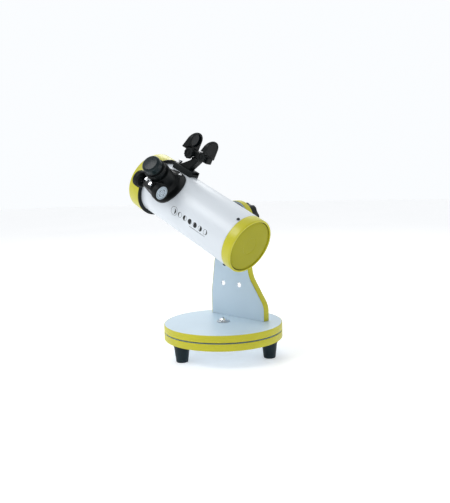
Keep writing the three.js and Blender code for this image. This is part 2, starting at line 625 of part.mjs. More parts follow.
function rackOutline() {
  const rootY = rackLineY - TOOTH_ROOT;
  const tipY = rackLineY + TOOTH_TIP;
  const points = [[drawR + GAP, rackBottom], [rootY, rackBottom]];
  const first = Math.ceil((rackBottom - shaftH) / toothPitch - 0.5) + 0.5;
  for (let k = first; shaftH + (k + 0.5) * toothPitch < rackTop; k += 1) {
    const z = shaftH + k * toothPitch;
    const rootHalf = toothHalf + flank * TOOTH_ROOT;
    const tipHalf = toothHalf - flank * TOOTH_TIP;
    if (z - rootHalf > rackBottom && z + rootHalf < rackTop) {
      points.push([rootY, z - rootHalf], [tipY, z - tipHalf], [tipY, z + tipHalf], [rootY, z + rootHalf]);
    }
  }
  points.push([rootY, rackTop], [drawR + GAP, rackTop]);
  return points;
}
// Drawn in Y and Z, with its width along X.
const rackBar = prism(polygon(rackOutline()), -3.5, 3.5).applyMatrix4(new THREE.Matrix4().makeBasis(
  new THREE.Vector3(0, 1, 0), new THREE.Vector3(0, 0, 1), new THREE.Vector3(1, 0, 0)));
add(focuser, 'rack', atFocus(rackBar), steel);

function pinionOutline() {
  const points = [];
  const at = (r, angle) => [r * Math.cos(angle), r * Math.sin(angle)];
  for (let k = 0; k < TEETH; k += 1) {
    const middle = (2 * Math.PI * k) / TEETH;
    const rootR = PITCH_R - TOOTH_ROOT;
    const tipR = PITCH_R + TOOTH_TIP;
    const rootHalf = (toothHalf + flank * TOOTH_ROOT) / rootR;
    const tipHalf = (toothHalf - flank * TOOTH_TIP) / tipR;
    points.push(at(rootR, middle - rootHalf), at(tipR, middle - tipHalf));
    points.push(at(tipR, middle + tipHalf), at(rootR, middle + rootHalf));
  }
  return points;
}
const shaftHalf = KNOB_SPAN / 2 - 3;
const pinion = join(prism(polygon(pinionOutline()), -4, 4), rod(SHAFT_R, -shaftHalf, shaftHalf, SMALL));
add(focuser, 'pinion_shaft', onShaft(pinion), steel);

function focusKnob(direction) {
  const face = KNOB_SPAN / 2;
  const back = face - FOCUS_KNOB_T;
  const knob = turned([
    [SHAFT_R + LINE_GAP, back], [FOCUS_KNOB_R - 3, back], [FOCUS_KNOB_R, back + 3],
    [FOCUS_KNOB_R, face - 1.5],
    [FOCUS_KNOB_R - 1.5, face], [FOCUS_KNOB_R - 3, face], [FOCUS_KNOB_R - 3, face - 1.2], [0, face - 1.2],
    [0, face - 2.4], [SHAFT_R + LINE_GAP, face - 2.4], [SHAFT_R + LINE_GAP, back],
  ], MID);
  return onShaft(direction > 0 ? knob : knob.rotateX(Math.PI));
}
add(focuser, 'focus_knob_front', focusKnob(1), black);
add(focuser, 'focus_knob_rear', focusKnob(-1), black);

const lockScrew = turned([[0, lockTop - 3.6], [1.8, lockTop - 3.6], [1.8, lockTop + 1], [3, lockTop + 1],
  [3.9, lockTop + 2], [3.9, lockTop + 6.4], [3.3, lockTop + 7], [0, lockTop + 7]], SMALL);
add(focuser, 'focus_lock_screw', atFocus(lockScrew.translate(LOCK_X, lockY, 0)), gloss);
const setScrew = turned([[0, BARREL_R + 0.4], [SCREW_R, BARREL_R + 0.4], [SCREW_R, collarR + 1.2],
  [2.8, collarR + 1.2], [2.8, collarR + 6], [2.3, collarR + 6.5], [0, collarR + 6.5]], SMALL);
add(focuser, 'eyepiece_set_screw', atFocus(alongY(setScrew).translate(0, 0, setScrewH)), gloss);

// ---- eyepiece ---------------------------------------------------------------------------
const barrelTop = collarTop + GAP;
const barrelBottom = collarTop - BARREL_LENGTH;
add(focuser, 'eyepiece_barrel', atFocus(turned([
  [BARREL_R - BARREL_WALL, barrelBottom], [BARREL_R - 0.4, barrelBottom], [BARREL_R, barrelBottom + 0.6],
  [BARREL_R, barrelTop], [capR, barrelTop], [capR, barrelTop + 1.6],
  [BARREL_R - BARREL_WALL, barrelTop + 1.6], [BARREL_R - BARREL_WALL, barrelBottom],
], FINE)), gloss);
const eyeBottom = barrelTop + 1.6 + GAP;
const capTop = eyeTop + CAP_T;
const lensBottom = eyeTop - 5;
add(focuser, 'eyepiece_body', atFocus(ring(EYE_BORE_R, eyeR, eyeBottom, eyeTop, FINE)), black);
add(focuser, 'eye_lens', atFocus(turned([[0, lensBottom], [EYE_BORE_R - LINE_GAP, lensBottom + 1],
  [EYE_BORE_R - LINE_GAP, lensBottom + 2], [0, lensBottom + 3.4]], MID)), glass);
add(focuser, 'eyepiece_cap', atFocus(turned([
  [eyeR + LINE_GAP, eyeBottom + GAP], [capR, eyeBottom + GAP],
  [capR, capTop - 3.5], [capR - 1, capTop - 1.4],
  [capR - 3.5, capTop - 0.4], [0, capTop], [0, eyeTop + 1], [eyeR + LINE_GAP, eyeTop + 1],
  [eyeR + LINE_GAP, eyeBottom + GAP],
], FINE)), slate);

// ---- finder -----------------------------------------------------------------------------
const finder = radialGroup(finderAngle);
const shoeFloor = shoeTop - SHOE_FLOOR_DROP;
const channelEnd = shoeFront - SHOE_STOP;
const alongTube = (shape, x0, x1) => prism(shape, x0, x1).applyMatrix4(new THREE.Matrix4().makeBasis(
  new THREE.Vector3(0, 1, 0), new THREE.Vector3(0, 0, 1), new THREE.Vector3(1, 0, 0)));
const dovetail = (spread, z0, z1) => polygon([
  [-STALK_HALF - spread - 2, z0], [STALK_HALF + spread + 2, z0],
  [STALK_HALF + spread, z1], [-STALK_HALF - spread, z1],
]);
const shoeScrewS = shoeFront - 4;
const shoeScrewTip = TUBE_R + 2;
const shoeDrill = rod(SCREW_R + LINE_GAP, shoeScrewTip - GAP, shoeTop + 1, SMALL)
  .translate(shoeScrewS, 0, 0);
add(finder, 'finder_shoe', cut(
  box(SHOE_REAR, shoeFront, -SHOE_HALF, SHOE_HALF, TUBE_R - 10, shoeTop),
  tubeRod(TUBE_R + GAP),
  alongTube(dovetail(GAP, shoeFloor, shoeTop + 0.1), SHOE_REAR - 1, channelEnd),
  shoeDrill,
), black);
const shoeScrew = turned([
  [0, shoeScrewTip], [SCREW_R, shoeScrewTip], [SCREW_R, shoeTop + 1], [4, shoeTop + 1],
  [4, shoeTop + 6.5], [3.4, shoeTop + 7], [0, shoeTop + 7],
], SMALL);
add(finder, 'finder_shoe_screw', shoeScrew.translate(shoeScrewS, 0, 0), gloss);

const stalkTop = barBottom - GAP;
const footRear = SHOE_REAR + FOOT_START;
const footFront = footRear + FOOT_LENGTH;
const stalkRear = SHOE_REAR - 1;
const stalkSide = polygon([
  [stalkRear + STALK_LEAN, shoeTop - 0.5], [footFront, shoeTop - 0.5], [footFront, shoeTop + 1.5],
  [footFront - 17, shoeTop + 15], [footFront - 21, shoeTop + 19], [footFront - 21.5, stalkTop],
  [stalkRear, stalkTop], [stalkRear, stalkTop - 3],
]);
const stalkBlock = upright(stalkSide, -STALK_HALF, STALK_HALF);
const stalkFoot = alongTube(dovetail(0, shoeFloor + GAP, shoeTop), footRear, footFront);
add(finder, 'finder_stalk', join(stalkBlock, stalkFoot), black);

// A hood: round top, straight sides, longer at the bottom than at the top.
function hoodShape(inset) {
  const shape = new THREE.Shape();
  const r = HOOD_R - inset;
  shape.moveTo(-r, barTop - 4 + inset);
  shape.lineTo(r, barTop - 4 + inset);
  shape.lineTo(r, sightH);
  shape.absarc(0, sightH, r, 0, Math.PI, false);
  return shape;
}
function hood(start) {
  const reach = 22;
  const slope = 0.38;
  const topH = sightH + HOOD_R;
  const lowH = barTop - 6;
  const away = upright(polygon([[start + 3, topH + 1], [start + 3 + (topH - lowH) * slope, lowH],
    [start + 2 * reach, lowH], [start + 2 * reach, topH + 1]]), -30, 30);
  return cut(alongTube(hoodShape(0), start, start + reach), away);
}
const lensSeat = frontHoodS + 3;
const wheelSpots = [[SHOE_REAR + 23, barBottom + 3, 10.5], [SHOE_REAR - 10, barBottom + 8.5, 9]];
const axleTip = -3;
const axleBore = alongY(rod(AXLE_R + LINE_GAP, axleTip - GAP, 30, SMALL));
const wheelBores = wheelSpots.map(([x, z]) => axleBore.clone().translate(x, 0, z));
// Room beside the bar for the two adjuster wheels.
const wheelRooms = wheelSpots.map(([x, z, r]) => alongY(rod(r + 1, BAR_HALF, 30, MID)).translate(x, 0, z));
const barRear = SHOE_REAR - BAR_OVERHANG;
const bar = box(barRear, barRear + BAR_LENGTH, -BAR_HALF, BAR_HALF, barBottom, barTop);
const sightBody = cut(join(bar, hood(frontHoodS), hood(rearHoodS)),
  alongX(rod(HOOD_R - HOOD_WALL, lensSeat, frontHoodS + 30, MID)).translate(0, 0, sightH),
  alongX(rod(HOOD_R - HOOD_WALL - 1.4, frontHoodS - 1, frontHoodS + 30, MID)).translate(0, 0, sightH),
  alongX(rod(HOOD_R - HOOD_WALL, rearHoodS - 1, rearHoodS + 1.2, MID)).translate(0, 0, sightH),
  ...wheelRooms, ...wheelBores);
add(finder, 'finder_body', sightBody, black);
const lensR = HOOD_R - HOOD_WALL - LINE_GAP;
add(finder, 'finder_lens', alongX(rod(lensR, lensSeat + GAP, lensSeat + GAP + 1.6, MID))
  .translate(0, 0, sightH), glass);
add(finder, 'finder_screen', alongX(rod(lensR, rearHoodS - 0.2, rearHoodS + 1.2 - GAP, MID))
  .translate(0, 0, sightH), black);

function adjuster([x, z, wheelR]) {
  const shape = new THREE.Shape();
  const ribs = 12;
  for (let i = 0; i < ribs * 4; i += 1) {
    const angle = (2 * Math.PI * i) / (ribs * 4);
    const r = i % 4 < 2 ? wheelR : wheelR - 1.2;
    const point = [r * Math.cos(angle), r * Math.sin(angle)];
    if (i === 0) {
      shape.moveTo(...point);
    } else {
      shape.lineTo(...point);
    }
  }
  const inner = BAR_HALF + GAP;
  const outer = BAR_HALF + WHEEL_T;
  return alongY(join(prism(shape, inner, outer), rod(AXLE_R, axleTip, outer - 1, SMALL))).translate(x, 0, z);
}
add(finder, 'finder_front_wheel', adjuster(wheelSpots[0]), slate);
add(finder, 'finder_rear_wheel', adjuster(wheelSpots[1]), slate);

export default telescope;
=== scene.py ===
import json
import math

import bmesh
import bpy
from bpy.props import FloatProperty, FloatVectorProperty, IntProperty, PointerProperty
from mathutils import Matrix, Vector


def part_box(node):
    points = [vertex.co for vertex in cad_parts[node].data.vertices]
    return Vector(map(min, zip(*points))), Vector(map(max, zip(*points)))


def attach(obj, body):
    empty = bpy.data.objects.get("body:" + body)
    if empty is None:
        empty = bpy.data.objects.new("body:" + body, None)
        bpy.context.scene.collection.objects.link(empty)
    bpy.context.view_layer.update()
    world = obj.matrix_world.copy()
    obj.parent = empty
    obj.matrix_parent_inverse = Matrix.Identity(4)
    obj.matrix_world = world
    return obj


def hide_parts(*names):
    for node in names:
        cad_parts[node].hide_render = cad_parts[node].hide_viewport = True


bl_info = {
    "name": "Tabletop Reflector Telescope",
    "version": (1, 0, 0),
    "blender": (4, 5, 0),
    "location": "View3D > Sidebar > Telescope",
    "description": "Builds the finished look of a tabletop Newtonian reflector on its frame",
    "category": "Add Mesh",
}

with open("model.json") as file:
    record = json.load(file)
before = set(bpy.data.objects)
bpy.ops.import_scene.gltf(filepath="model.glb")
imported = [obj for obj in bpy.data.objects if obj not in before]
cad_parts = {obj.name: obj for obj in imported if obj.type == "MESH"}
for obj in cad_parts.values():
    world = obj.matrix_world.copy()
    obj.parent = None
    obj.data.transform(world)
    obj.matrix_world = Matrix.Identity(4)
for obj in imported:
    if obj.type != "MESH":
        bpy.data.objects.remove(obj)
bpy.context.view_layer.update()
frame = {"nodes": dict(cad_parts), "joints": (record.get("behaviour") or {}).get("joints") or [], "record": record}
NODES = frame["nodes"]
JOINTS = {joint["name"]: joint for joint in frame["joints"]}
MM = 0.001


# ---- local frames, in millimetres --------------------------------------------------------

class Axes:
    """An origin in metres and three directions. Meshes are drawn in it in millimetres."""

    def __init__(self, origin, x, y, z):
        self.origin = Vector(origin)
        self.x = Vector(x)
        self.y = Vector(y)
        self.z = Vector(z)

    def matrix(self):
        turn = Matrix((self.x, self.y, self.z)).transposed().to_4x4()
        return Matrix.Translation(self.origin) @ turn @ Matrix.Scale(MM, 4)

    def local(self, point):
        """A point of the frame in metres, as millimetres along the three directions."""
        step = (Vector(point) - self.origin) / MM
        return Vector((step.dot(self.x), step.dot(self.y), step.dot(self.z)))


def span(node, axes):
    """Lowest and highest local coordinates of a CAD node, in millimetres."""
    points = [axes.local(v.co) for v in NODES[node].data.vertices]
    low = Vector(min(p[i] for p in points) for i in range(3))
    high = Vector(max(p[i] for p in points) for i in range(3))
    return low, high


def centre(node):
    low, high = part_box(node)
    return (low + high) / 2


def radial(out):
    """X runs to the front of the tube and Z outwards from its axis."""
    z = Vector(out).normalized()
    return Axes(TUBE.origin, FRONT, z.cross(FRONT), z)


FRONT = Vector(JOINTS["front_cell_pull"]["axis"]).normalized()
PIVOT = Vector(JOINTS["altitude"]["pos_m"])
WORLD = Axes((0, 0, 0), (1, 0, 0), (0, 1, 0), (0, 0, 1))
SIDE = Vector((0, -1, 0))
TUBE = Axes((PIVOT.x, centre("optical_tube").y, PIVOT.z), SIDE, FRONT.cross(SIDE), FRONT)
FOCUSER = radial(JOINTS["focus_travel"]["axis"])
FINDER = radial(JOINTS["finder_clamp_turn"]["axis"])
BEARING = radial((0, 1, 0))


def centre_of(node, axes):
    low, high = span(node, axes)
    return (low + high) / 2


FOCUS_S = centre_of("drawtube", FOCUSER).x
BODY_OF = {node: body for body, nodes in frame["record"]["behaviour"]["bodies"].items() for node in nodes}
SLOT_OF = {row["node"]: row["material_slot"] for row in frame["record"]["subparts"]}


# ---- sizes and colours that a user would change ------------------------------------------

def length(name, text, size_mm):
    return FloatProperty(name=name, description=text, default=size_mm * MM, min=0.0,
                         unit="LENGTH", subtype="DISTANCE", precision=4)


def colour(name, text, value):
    return FloatVectorProperty(name=name, description=text, default=value, min=0.0, max=1.0,
                               size=3, subtype="COLOR")


class ReflectorSizes(bpy.types.PropertyGroup):
    board_round: length("Board edge rounding", "Radius of the edge band's corners", 0.9)
    arm_round: length("Arm edge rounding", "Radius of the arm band's corners", 0.7)
    mould_round: length("Mould voxel", "Voxel that rounds the moulded housings", 0.55)
    print_rise: length("Print thickness", "How far the printed marks stand on the tube", 0.06)
    knob_flutes: IntProperty(name="Focus knob flutes", description="Grooves round each focus knob",
                             default=40, min=8, max=80)
    phases: IntProperty(name="Moon phases", description="Printed moon phases along the tube",
                        default=6, min=3, max=11)


class ReflectorColours(bpy.types.PropertyGroup):
    melamine: colour("Melamine", "White board faces", (0.56, 0.69, 0.79))
    lime: colour("Lime", "Edge bands, rear ring and front cell", (0.56, 0.53, 0.016))
    # Rear cover: painted shade, the lime darkened to stand for the cover's face turned away from the light.
    cover: colour("Rear cover", "Deeper lime of the rear cover", (0.35, 0.335, 0.003))
    enamel: colour("Enamel", "White tube paint", (0.72, 0.77, 0.82))
    black: colour("Black plastic", "Moulded focuser, finder and hub", (0.0035, 0.0048, 0.0052))
    cap: colour("Eyepiece cap", "Soft dark cap over the eyepiece", (0.007, 0.014, 0.016))
    foot: colour("Feet", "Moulded feet", (0.006, 0.016, 0.022))
    ink: colour("Print", "Printed marks on the tube", (0.006, 0.008, 0.010))


class CameraSetup(bpy.types.PropertyGroup):
    azimuth: FloatProperty(name="Azimuth", description="Camera direction round the base",
                           default=math.radians(43.87), subtype="ANGLE")
    elevation: FloatProperty(name="Elevation", description="Camera height angle",
                             default=math.radians(6.72), subtype="ANGLE")
    roll: FloatProperty(name="Roll", description="Tilt about the view axis",
                        default=math.radians(-1.40), subtype="ANGLE")
    distance: length("Distance", "From the aim point to the lens", 1181.7)
    aim_height: length("Aim height", "Height of the aim point over the table", 191.7)
    focal: FloatProperty(name="Lens", description="Focal length in millimetres", default=46.70)


# ---- mesh tools, all in millimetres ------------------------------------------------------

def rounded(corners, closed=False, steps=5):
    """Points of an outline. A corner (x, y, radius) is replaced by an arc of that radius."""
    count = len(corners)
    points = []
    for i, corner in enumerate(corners):
        here = Vector(corner[:2])
        radius = corner[2] if len(corner) > 2 else 0.0
        end = not closed and i in (0, count - 1)
        if radius <= 0.0 or end:
            points.append((here.x, here.y))
            continue
        back = (Vector(corners[i - 1][:2]) - here).normalized()
        ahead = (Vector(corners[(i + 1) % count][:2]) - here).normalized()
        half = back.angle(ahead) / 2
        middle = here + (back + ahead).normalized() * radius / math.sin(half)
        reach = radius / math.tan(half)
        first = here + back * reach - middle
        sweep = first.angle_signed(here + ahead * reach - middle)
        for k in range(steps + 1):
            angle = -sweep * k / steps
            turned = Matrix.Rotation(angle, 2) @ first
            points.append((middle.x + turned.x, middle.y + turned.y))
    return points


def new_mesh():
    return bmesh.new()


def lathe(profile, steps=128, closed=False):
    """A turned solid about Z, from (radius, height) points."""
    bm = new_mesh()
    rows = []
    for r, z in profile:
        if r < 1e-6:
            rows.append([bm.verts.new((0, 0, z))])
        else:
            angles = [2 * math.pi * i / steps for i in range(steps)]
            rows.append([bm.verts.new((r * math.cos(a), r * math.sin(a), z)) for a in angles])
    pairs = list(zip(rows, rows[1:]))
    if closed:
        pairs.append((rows[-1], rows[0]))
    for a, b in pairs:
        for i in range(steps):
            j = (i + 1) % steps
            corners = [a[i % len(a)], a[j % len(a)], b[j % len(b)], b[i % len(b)]]
            unique = list(dict.fromkeys(corners))
            if len(unique) > 2:
                bm.faces.new(unique)
    bmesh.ops.recalc_face_normals(bm, faces=bm.faces)
    return bm


def solid_of(corners, steps=128, arc=5):
    """A turned solid from corners that start and end on the axis."""
    return lathe(rounded(corners, steps=arc), steps)


def ring_of(corners, steps=128, arc=5):
    """A turned ring from a closed outline."""
    return lathe(rounded(corners, closed=True, steps=arc), steps, closed=True)


def rod(radius, z0, z1, steps=64, soft=0.0):
    return solid_of([(0, z0), (radius, z0, soft), (radius, z1, soft), (0, z1)], steps)


def prism(outline, z0, z1):
    """A straight extrusion of a closed outline along Z."""
    bm = new_mesh()
    low = [bm.verts.new((x, y, z0)) for x, y in outline]
    high = [bm.verts.new((x, y, z1)) for x, y in outline]
    bm.faces.new(low)
    bm.faces.new(high)
    for i, a in enumerate(low):
        j = (i + 1) % len(low)
        bm.faces.new((a, low[j], high[j], high[i]))
    bmesh.ops.recalc_face_normals(bm, faces=bm.faces)
    return bm


def block(x0, x1, y0, y1, z0, z1):
    return prism([(x0, y0), (x1, y0), (x1, y1), (x0, y1)], z0, z1)


def moved(bm, x=0.0, y=0.0, z=0.0):
    bmesh.ops.translate(bm, verts=bm.verts, vec=(x, y, z))
    return bm


def turned(bm, matrix):
    bmesh.ops.transform(bm, verts=bm.verts, matrix=matrix)
    return bm


def along_x(bm):
    return turned(bm, Matrix(((0, 0, 1, 0), (0, 1, 0, 0), (-1, 0, 0, 0), (0, 0, 0, 1))))


def along_y(bm):
    return turned(bm, Matrix(((1, 0, 0, 0), (0, 0, 1, 0), (0, -1, 0, 0), (0, 0, 0, 1))))


def drawn_yz(bm):
    """Something drawn in X and Y and raised along Z, now drawn in Y and Z along X."""
    return turned(bm, Matrix(((0, 0, 1, 0), (1, 0, 0, 0), (0, 1, 0, 0), (0, 0, 0, 1))))


def drawn_xz(bm):
    """Something drawn in X and Y and raised along Z, now drawn in X and Z along -Y."""
    return turned(bm, Matrix(((1, 0, 0, 0), (0, 0, -1, 0), (0, 1, 0, 0), (0, 0, 0, 1))))


def soften(bm, radius, steps=2, limit=35.0):
    """Rounds every edge that is sharper than the limit."""
    sharp = [e for e in bm.edges if len(e.link_faces) == 2 and e.calc_face_angle(0) > math.radians(limit)]
    bmesh.ops.bevel(bm, geom=sharp, offset=radius, segments=steps, profile=0.5, affect="EDGES",
                    clamp_overlap=True)
    return bm


def temporary(bm):
    data = bpy.data.meshes.new("temporary")
    bm.to_mesh(data)
    bm.free()
    thing = bpy.data.objects.new("temporary", data)
    bpy.context.scene.collection.objects.link(thing)
    return thing


def evaluated(thing, extras=()):
    """The mesh of an object after its modifiers, with the object and its tools removed."""
    graph = bpy.context.evaluated_depsgraph_get()
    result = bpy.data.meshes.new_from_object(thing.evaluated_get(graph))
    bm = new_mesh()
    bm.from_mesh(result)
    bpy.data.meshes.remove(result)
    for gone in (thing, *extras):
        data = gone.data
        bpy.data.objects.remove(gone)
        bpy.data.meshes.remove(data)
    return bm


def combine(bm, tools, operation):
    thing = temporary(bm)
    helpers = [temporary(tool) for tool in tools]
    for helper in helpers:
        step = thing.modifiers.new("step", "BOOLEAN")
        step.operation = operation
        step.solver = "EXACT"
        step.object = helper
    return evaluated(thing, helpers)


def cut(bm, *tools):
    return combine(bm, tools, "DIFFERENCE")


def join(bm, *tools):
    return combine(bm, tools, "UNION")


def common(bm, *tools):
    return combine(bm, tools, "INTERSECT")


def moulded(bm, voxel, smooth=6):
    """Fuses overlapping solids into one skin with soft inner corners."""
    thing = temporary(bm)
    remesh = thing.modifiers.new("skin", "REMESH")
    remesh.mode = "VOXEL"
    remesh.voxel_size = voxel
    ease = thing.modifiers.new("ease", "SMOOTH")
    ease.factor = 0.5
    ease.iterations = smooth
    return evaluated(thing)


def gather(*parts):
    """Several meshes as one, not fused."""
    whole = new_mesh()
    for part in parts:
        data = bpy.data.meshes.new("part")
        part.to_mesh(data)
        part.free()
        whole.from_mesh(data)
        bpy.data.meshes.remove(data)
    return whole


def place(name, bm, axes, body, material, nodes=(), crease=32.0):
    """Puts a finished mesh in the frame, on its body, in place of the CAD nodes it stands for."""
    bmesh.ops.remove_doubles(bm, verts=bm.verts, dist=1e-4)
    bmesh.ops.recalc_face_normals(bm, faces=bm.faces)
    for edge in bm.edges:
        edge.smooth = len(edge.link_faces) == 2 and edge.calc_face_angle(0) < math.radians(crease)
    for face in bm.faces:
        face.smooth = True
    bmesh.ops.transform(bm, verts=bm.verts, matrix=axes.matrix())
    data = bpy.data.meshes.new(name)
    bm.to_mesh(data)
    bm.free()
    piece = bpy.data.objects.new(name, data)
    bpy.context.scene.collection.objects.link(piece)
    data.materials.append(material)
    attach(piece, body)
    if nodes:
        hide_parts(*nodes)
    return piece


# ---- materials ---------------------------------------------------------------------------

class Finish:
    """A node material under construction."""

    def __init__(self, name):
        self.material = bpy.data.materials.new(name)
        self.material.use_nodes = True
        self.nodes = self.material.node_tree.nodes
        self.links = self.material.node_tree.links
        self.shader = self.nodes["Principled BSDF"]
        self.place = self.nodes.new("ShaderNodeTexCoord").outputs["Object"]

    def set(self, **values):
        for key, value in values.items():
            self.shader.inputs[key.replace("_", " ")].default_value = value
        return self

    def noise(self, scale, detail=3.0, stretch=(1, 1, 1), rough=0.5):
        mapping = self.nodes.new("ShaderNodeMapping")
        mapping.inputs["Scale"].default_value = stretch
        self.links.new(self.place, mapping.inputs["Vector"])
        texture = self.nodes.new("ShaderNodeTexNoise")
        texture.inputs["Scale"].default_value = scale
        texture.inputs["Detail"].default_value = detail
        texture.inputs["Roughness"].default_value = rough
        self.links.new(mapping.outputs["Vector"], texture.inputs["Vector"])
        return texture.outputs["Fac"]

    def cells(self, scale):
        texture = self.nodes.new("ShaderNodeTexVoronoi")
        texture.inputs["Scale"].default_value = scale
        self.links.new(self.place, texture.inputs["Vector"])
        return texture.outputs["Distance"]

    def ramp(self, value, low, high, colours):
        ramp = self.nodes.new("ShaderNodeValToRGB")
        ramp.color_ramp.elements[0].position = low
        ramp.color_ramp.elements[1].position = high
        ramp.color_ramp.elements[0].color = (*colours[0], 1)
        ramp.color_ramp.elements[1].color = (*colours[1], 1)
        self.links.new(value, ramp.inputs["Fac"])
        return ramp.outputs["Color"]

    def spread(self, value, low, high):
        """Maps a texture of 0 to 1 onto a range of values."""
        step = self.nodes.new("ShaderNodeMapRange")
        step.inputs["To Min"].default_value = low
        step.inputs["To Max"].default_value = high
        self.links.new(value, step.inputs["Value"])
        return step.outputs["Result"]

    def painted_edge_highlight(self, base, highlight_tone, low=0.51, high=0.60):
        """Paints a highlight on the ridges of a mesh, a lighter colour where edges would catch the light."""
        ridges = self.nodes.new("ShaderNodeNewGeometry").outputs["Pointiness"]
        mask = self.nodes.new("ShaderNodeMapRange")
        mask.inputs["From Min"].default_value = low
        mask.inputs["From Max"].default_value = high
        self.links.new(ridges, mask.inputs["Value"])
        mix = self.nodes.new("ShaderNodeMix")
        mix.data_type = "RGBA"
        self.links.new(mask.outputs["Result"], mix.inputs["Factor"])
        self.links.new(base, mix.inputs["A"])
        mix.inputs["B"].default_value = (*highlight_tone, 1)
        return mix.outputs["Result"]

    def paint(self, value):
        self.links.new(value, self.shader.inputs["Base Color"])
        return self

    def gloss(self, value):
        self.links.new(value, self.shader.inputs["Roughness"])
        return self

    def bump(self, value, depth_mm, strength=1.0):
        bump = self.nodes.new("ShaderNodeBump")
        bump.inputs["Strength"].default_value = strength
        bump.inputs["Distance"].default_value = depth_mm * MM
        self.links.new(value, bump.inputs["Height"])
        self.links.new(bump.outputs["Normal"], self.shader.inputs["Normal"])
        return self


def shade(tone, factor):
    return tuple(min(1.0, c * factor) for c in tone)


def melamine_board(tone):
    finish = Finish("melamine_board").set(Specular_IOR_Level=0.5)
    cloud = finish.noise(14, 4)
    finish.paint(finish.ramp(cloud, 0.3, 0.7, (shade(tone, 0.965), shade(tone, 1.02))))
    finish.gloss(finish.spread(finish.noise(60, 5), 0.34, 0.46))
    return finish.bump(finish.noise(900, 4), 0.03, 0.5).material


def lime_edging(tone):
    finish = Finish("lime_edging").set(Specular_IOR_Level=0.45)
    grain = finish.noise(40, 5, (1, 1, 14))
    finish.paint(finish.ramp(grain, 0.3, 0.75, (shade(tone, 0.93), shade(tone, 1.05))))
    finish.gloss(finish.spread(finish.noise(120, 4), 0.36, 0.5))
    return finish.bump(finish.noise(260, 4, (1, 1, 9)), 0.05, 0.5).material


def lime_plastic(tone, name="lime_plastic", shine=0.5, coat=0.12):
    finish = Finish(name).set(Specular_IOR_Level=shine, Coat_Weight=coat, Coat_Roughness=0.3)
    cloud = finish.noise(22, 3)
    finish.paint(finish.ramp(cloud, 0.3, 0.7, (shade(tone, 0.96), shade(tone, 1.03))))
    finish.gloss(finish.spread(finish.noise(150, 4), 0.30, 0.42))
    return finish.bump(finish.cells(1400), 0.02, 0.35).material


def tube_enamel(tone):
    finish = Finish("tube_enamel").set(Coat_Weight=0.25, Coat_Roughness=0.3)
    cloud = finish.noise(9, 3)
    finish.paint(finish.ramp(cloud, 0.3, 0.7, (shade(tone, 0.985), shade(tone, 1.01))))
    finish.gloss(finish.spread(finish.noise(70, 4), 0.36, 0.46))
    return finish.bump(finish.noise(420, 3), 0.025, 0.4).material


def black_plastic(tone, name="black_plastic", rough=(0.34, 0.5)):
    finish = Finish(name).set(Specular_IOR_Level=0.18)
    cloud = finish.noise(55, 4)
    base = finish.ramp(cloud, 0.3, 0.7, (shade(tone, 0.8), shade(tone, 1.35)))
    # Painted edge highlight: the ridges are lightened to a pale grey to stand in for light catching the edges.
    finish.paint(finish.painted_edge_highlight(base, shade(tone, 2.8)))
    finish.gloss(finish.spread(finish.noise(180, 4), *rough))
    return finish.bump(finish.cells(1700), 0.03, 0.45).material


def soft_cap(tone):
    finish = Finish("soft_cap").set(Specular_IOR_Level=0.22)
    finish.paint(finish.ramp(finish.noise(40, 3), 0.3, 0.7, (shade(tone, 0.85), shade(tone, 1.2))))
    finish.gloss(finish.spread(finish.noise(120, 4), 0.22, 0.34))
    return finish.bump(finish.noise(700, 3), 0.015, 0.4).material


def plated_metal(name, tone, rough, stretch):
    finish = Finish(name).set(Metallic=1.0)
    scratch = finish.noise(900, 3, stretch)
    finish.paint(finish.ramp(finish.noise(80, 3), 0.3, 0.7, (shade(tone, 0.9), shade(tone, 1.05))))
    finish.gloss(finish.spread(scratch, *rough))
    return finish.bump(scratch, 0.01, 0.25).material


def nylon():
    finish = Finish("nylon").set(Specular_IOR_Level=0.4, Subsurface_Weight=0.1)
    finish.paint(finish.ramp(finish.noise(90, 3), 0.3, 0.7, ((0.62, 0.61, 0.57), (0.74, 0.73, 0.7))))
    finish.gloss(finish.spread(finish.noise(200, 3), 0.4, 0.55))
    return finish.bump(finish.noise(500, 3), 0.02, 0.4).material


def coated_glass():
    finish = Finish("coated_glass").set(Specular_IOR_Level=0.3)
    finish.paint(finish.ramp(finish.noise(60, 2), 0.3, 0.7, ((0.003, 0.005, 0.007), (0.006, 0.009, 0.012))))
    finish.gloss(finish.spread(finish.noise(300, 3), 0.04, 0.10))
    return finish.bump(finish.noise(120, 2), 0.004, 0.2).material


def mirror_glass(name="mirror_glass", rough=(0.02, 0.05)):
    finish = Finish(name).set(Metallic=1.0)
    finish.paint(finish.ramp(finish.noise(30, 3), 0.3, 0.7, ((0.82, 0.83, 0.85), (0.9, 0.91, 0.93))))
    finish.gloss(finish.spread(finish.noise(500, 3), *rough))
    return finish.bump(finish.noise(30, 2), 0.004, 0.1).material


def crinkled_film():
    finish = Finish("crinkled_film").set(Metallic=1.0)
    folds = finish.noise(38, 5)
    finish.paint(finish.ramp(folds, 0.3, 0.7, ((0.42, 0.43, 0.46), (0.62, 0.63, 0.66))))
    finish.gloss(finish.spread(folds, 0.06, 0.16))
    return finish.bump(folds, 0.6, 0.7).material


def screen_print(tone):
    finish = Finish("screen_print").set(Specular_IOR_Level=0.4)
    finish.paint(finish.ramp(finish.noise(700, 3), 0.3, 0.7, (shade(tone, 0.9), shade(tone, 1.25))))
    finish.gloss(finish.spread(finish.noise(300, 3), 0.4, 0.55))
    return finish.bump(finish.noise(900, 2), 0.01, 0.3).material


MATERIALS = {}


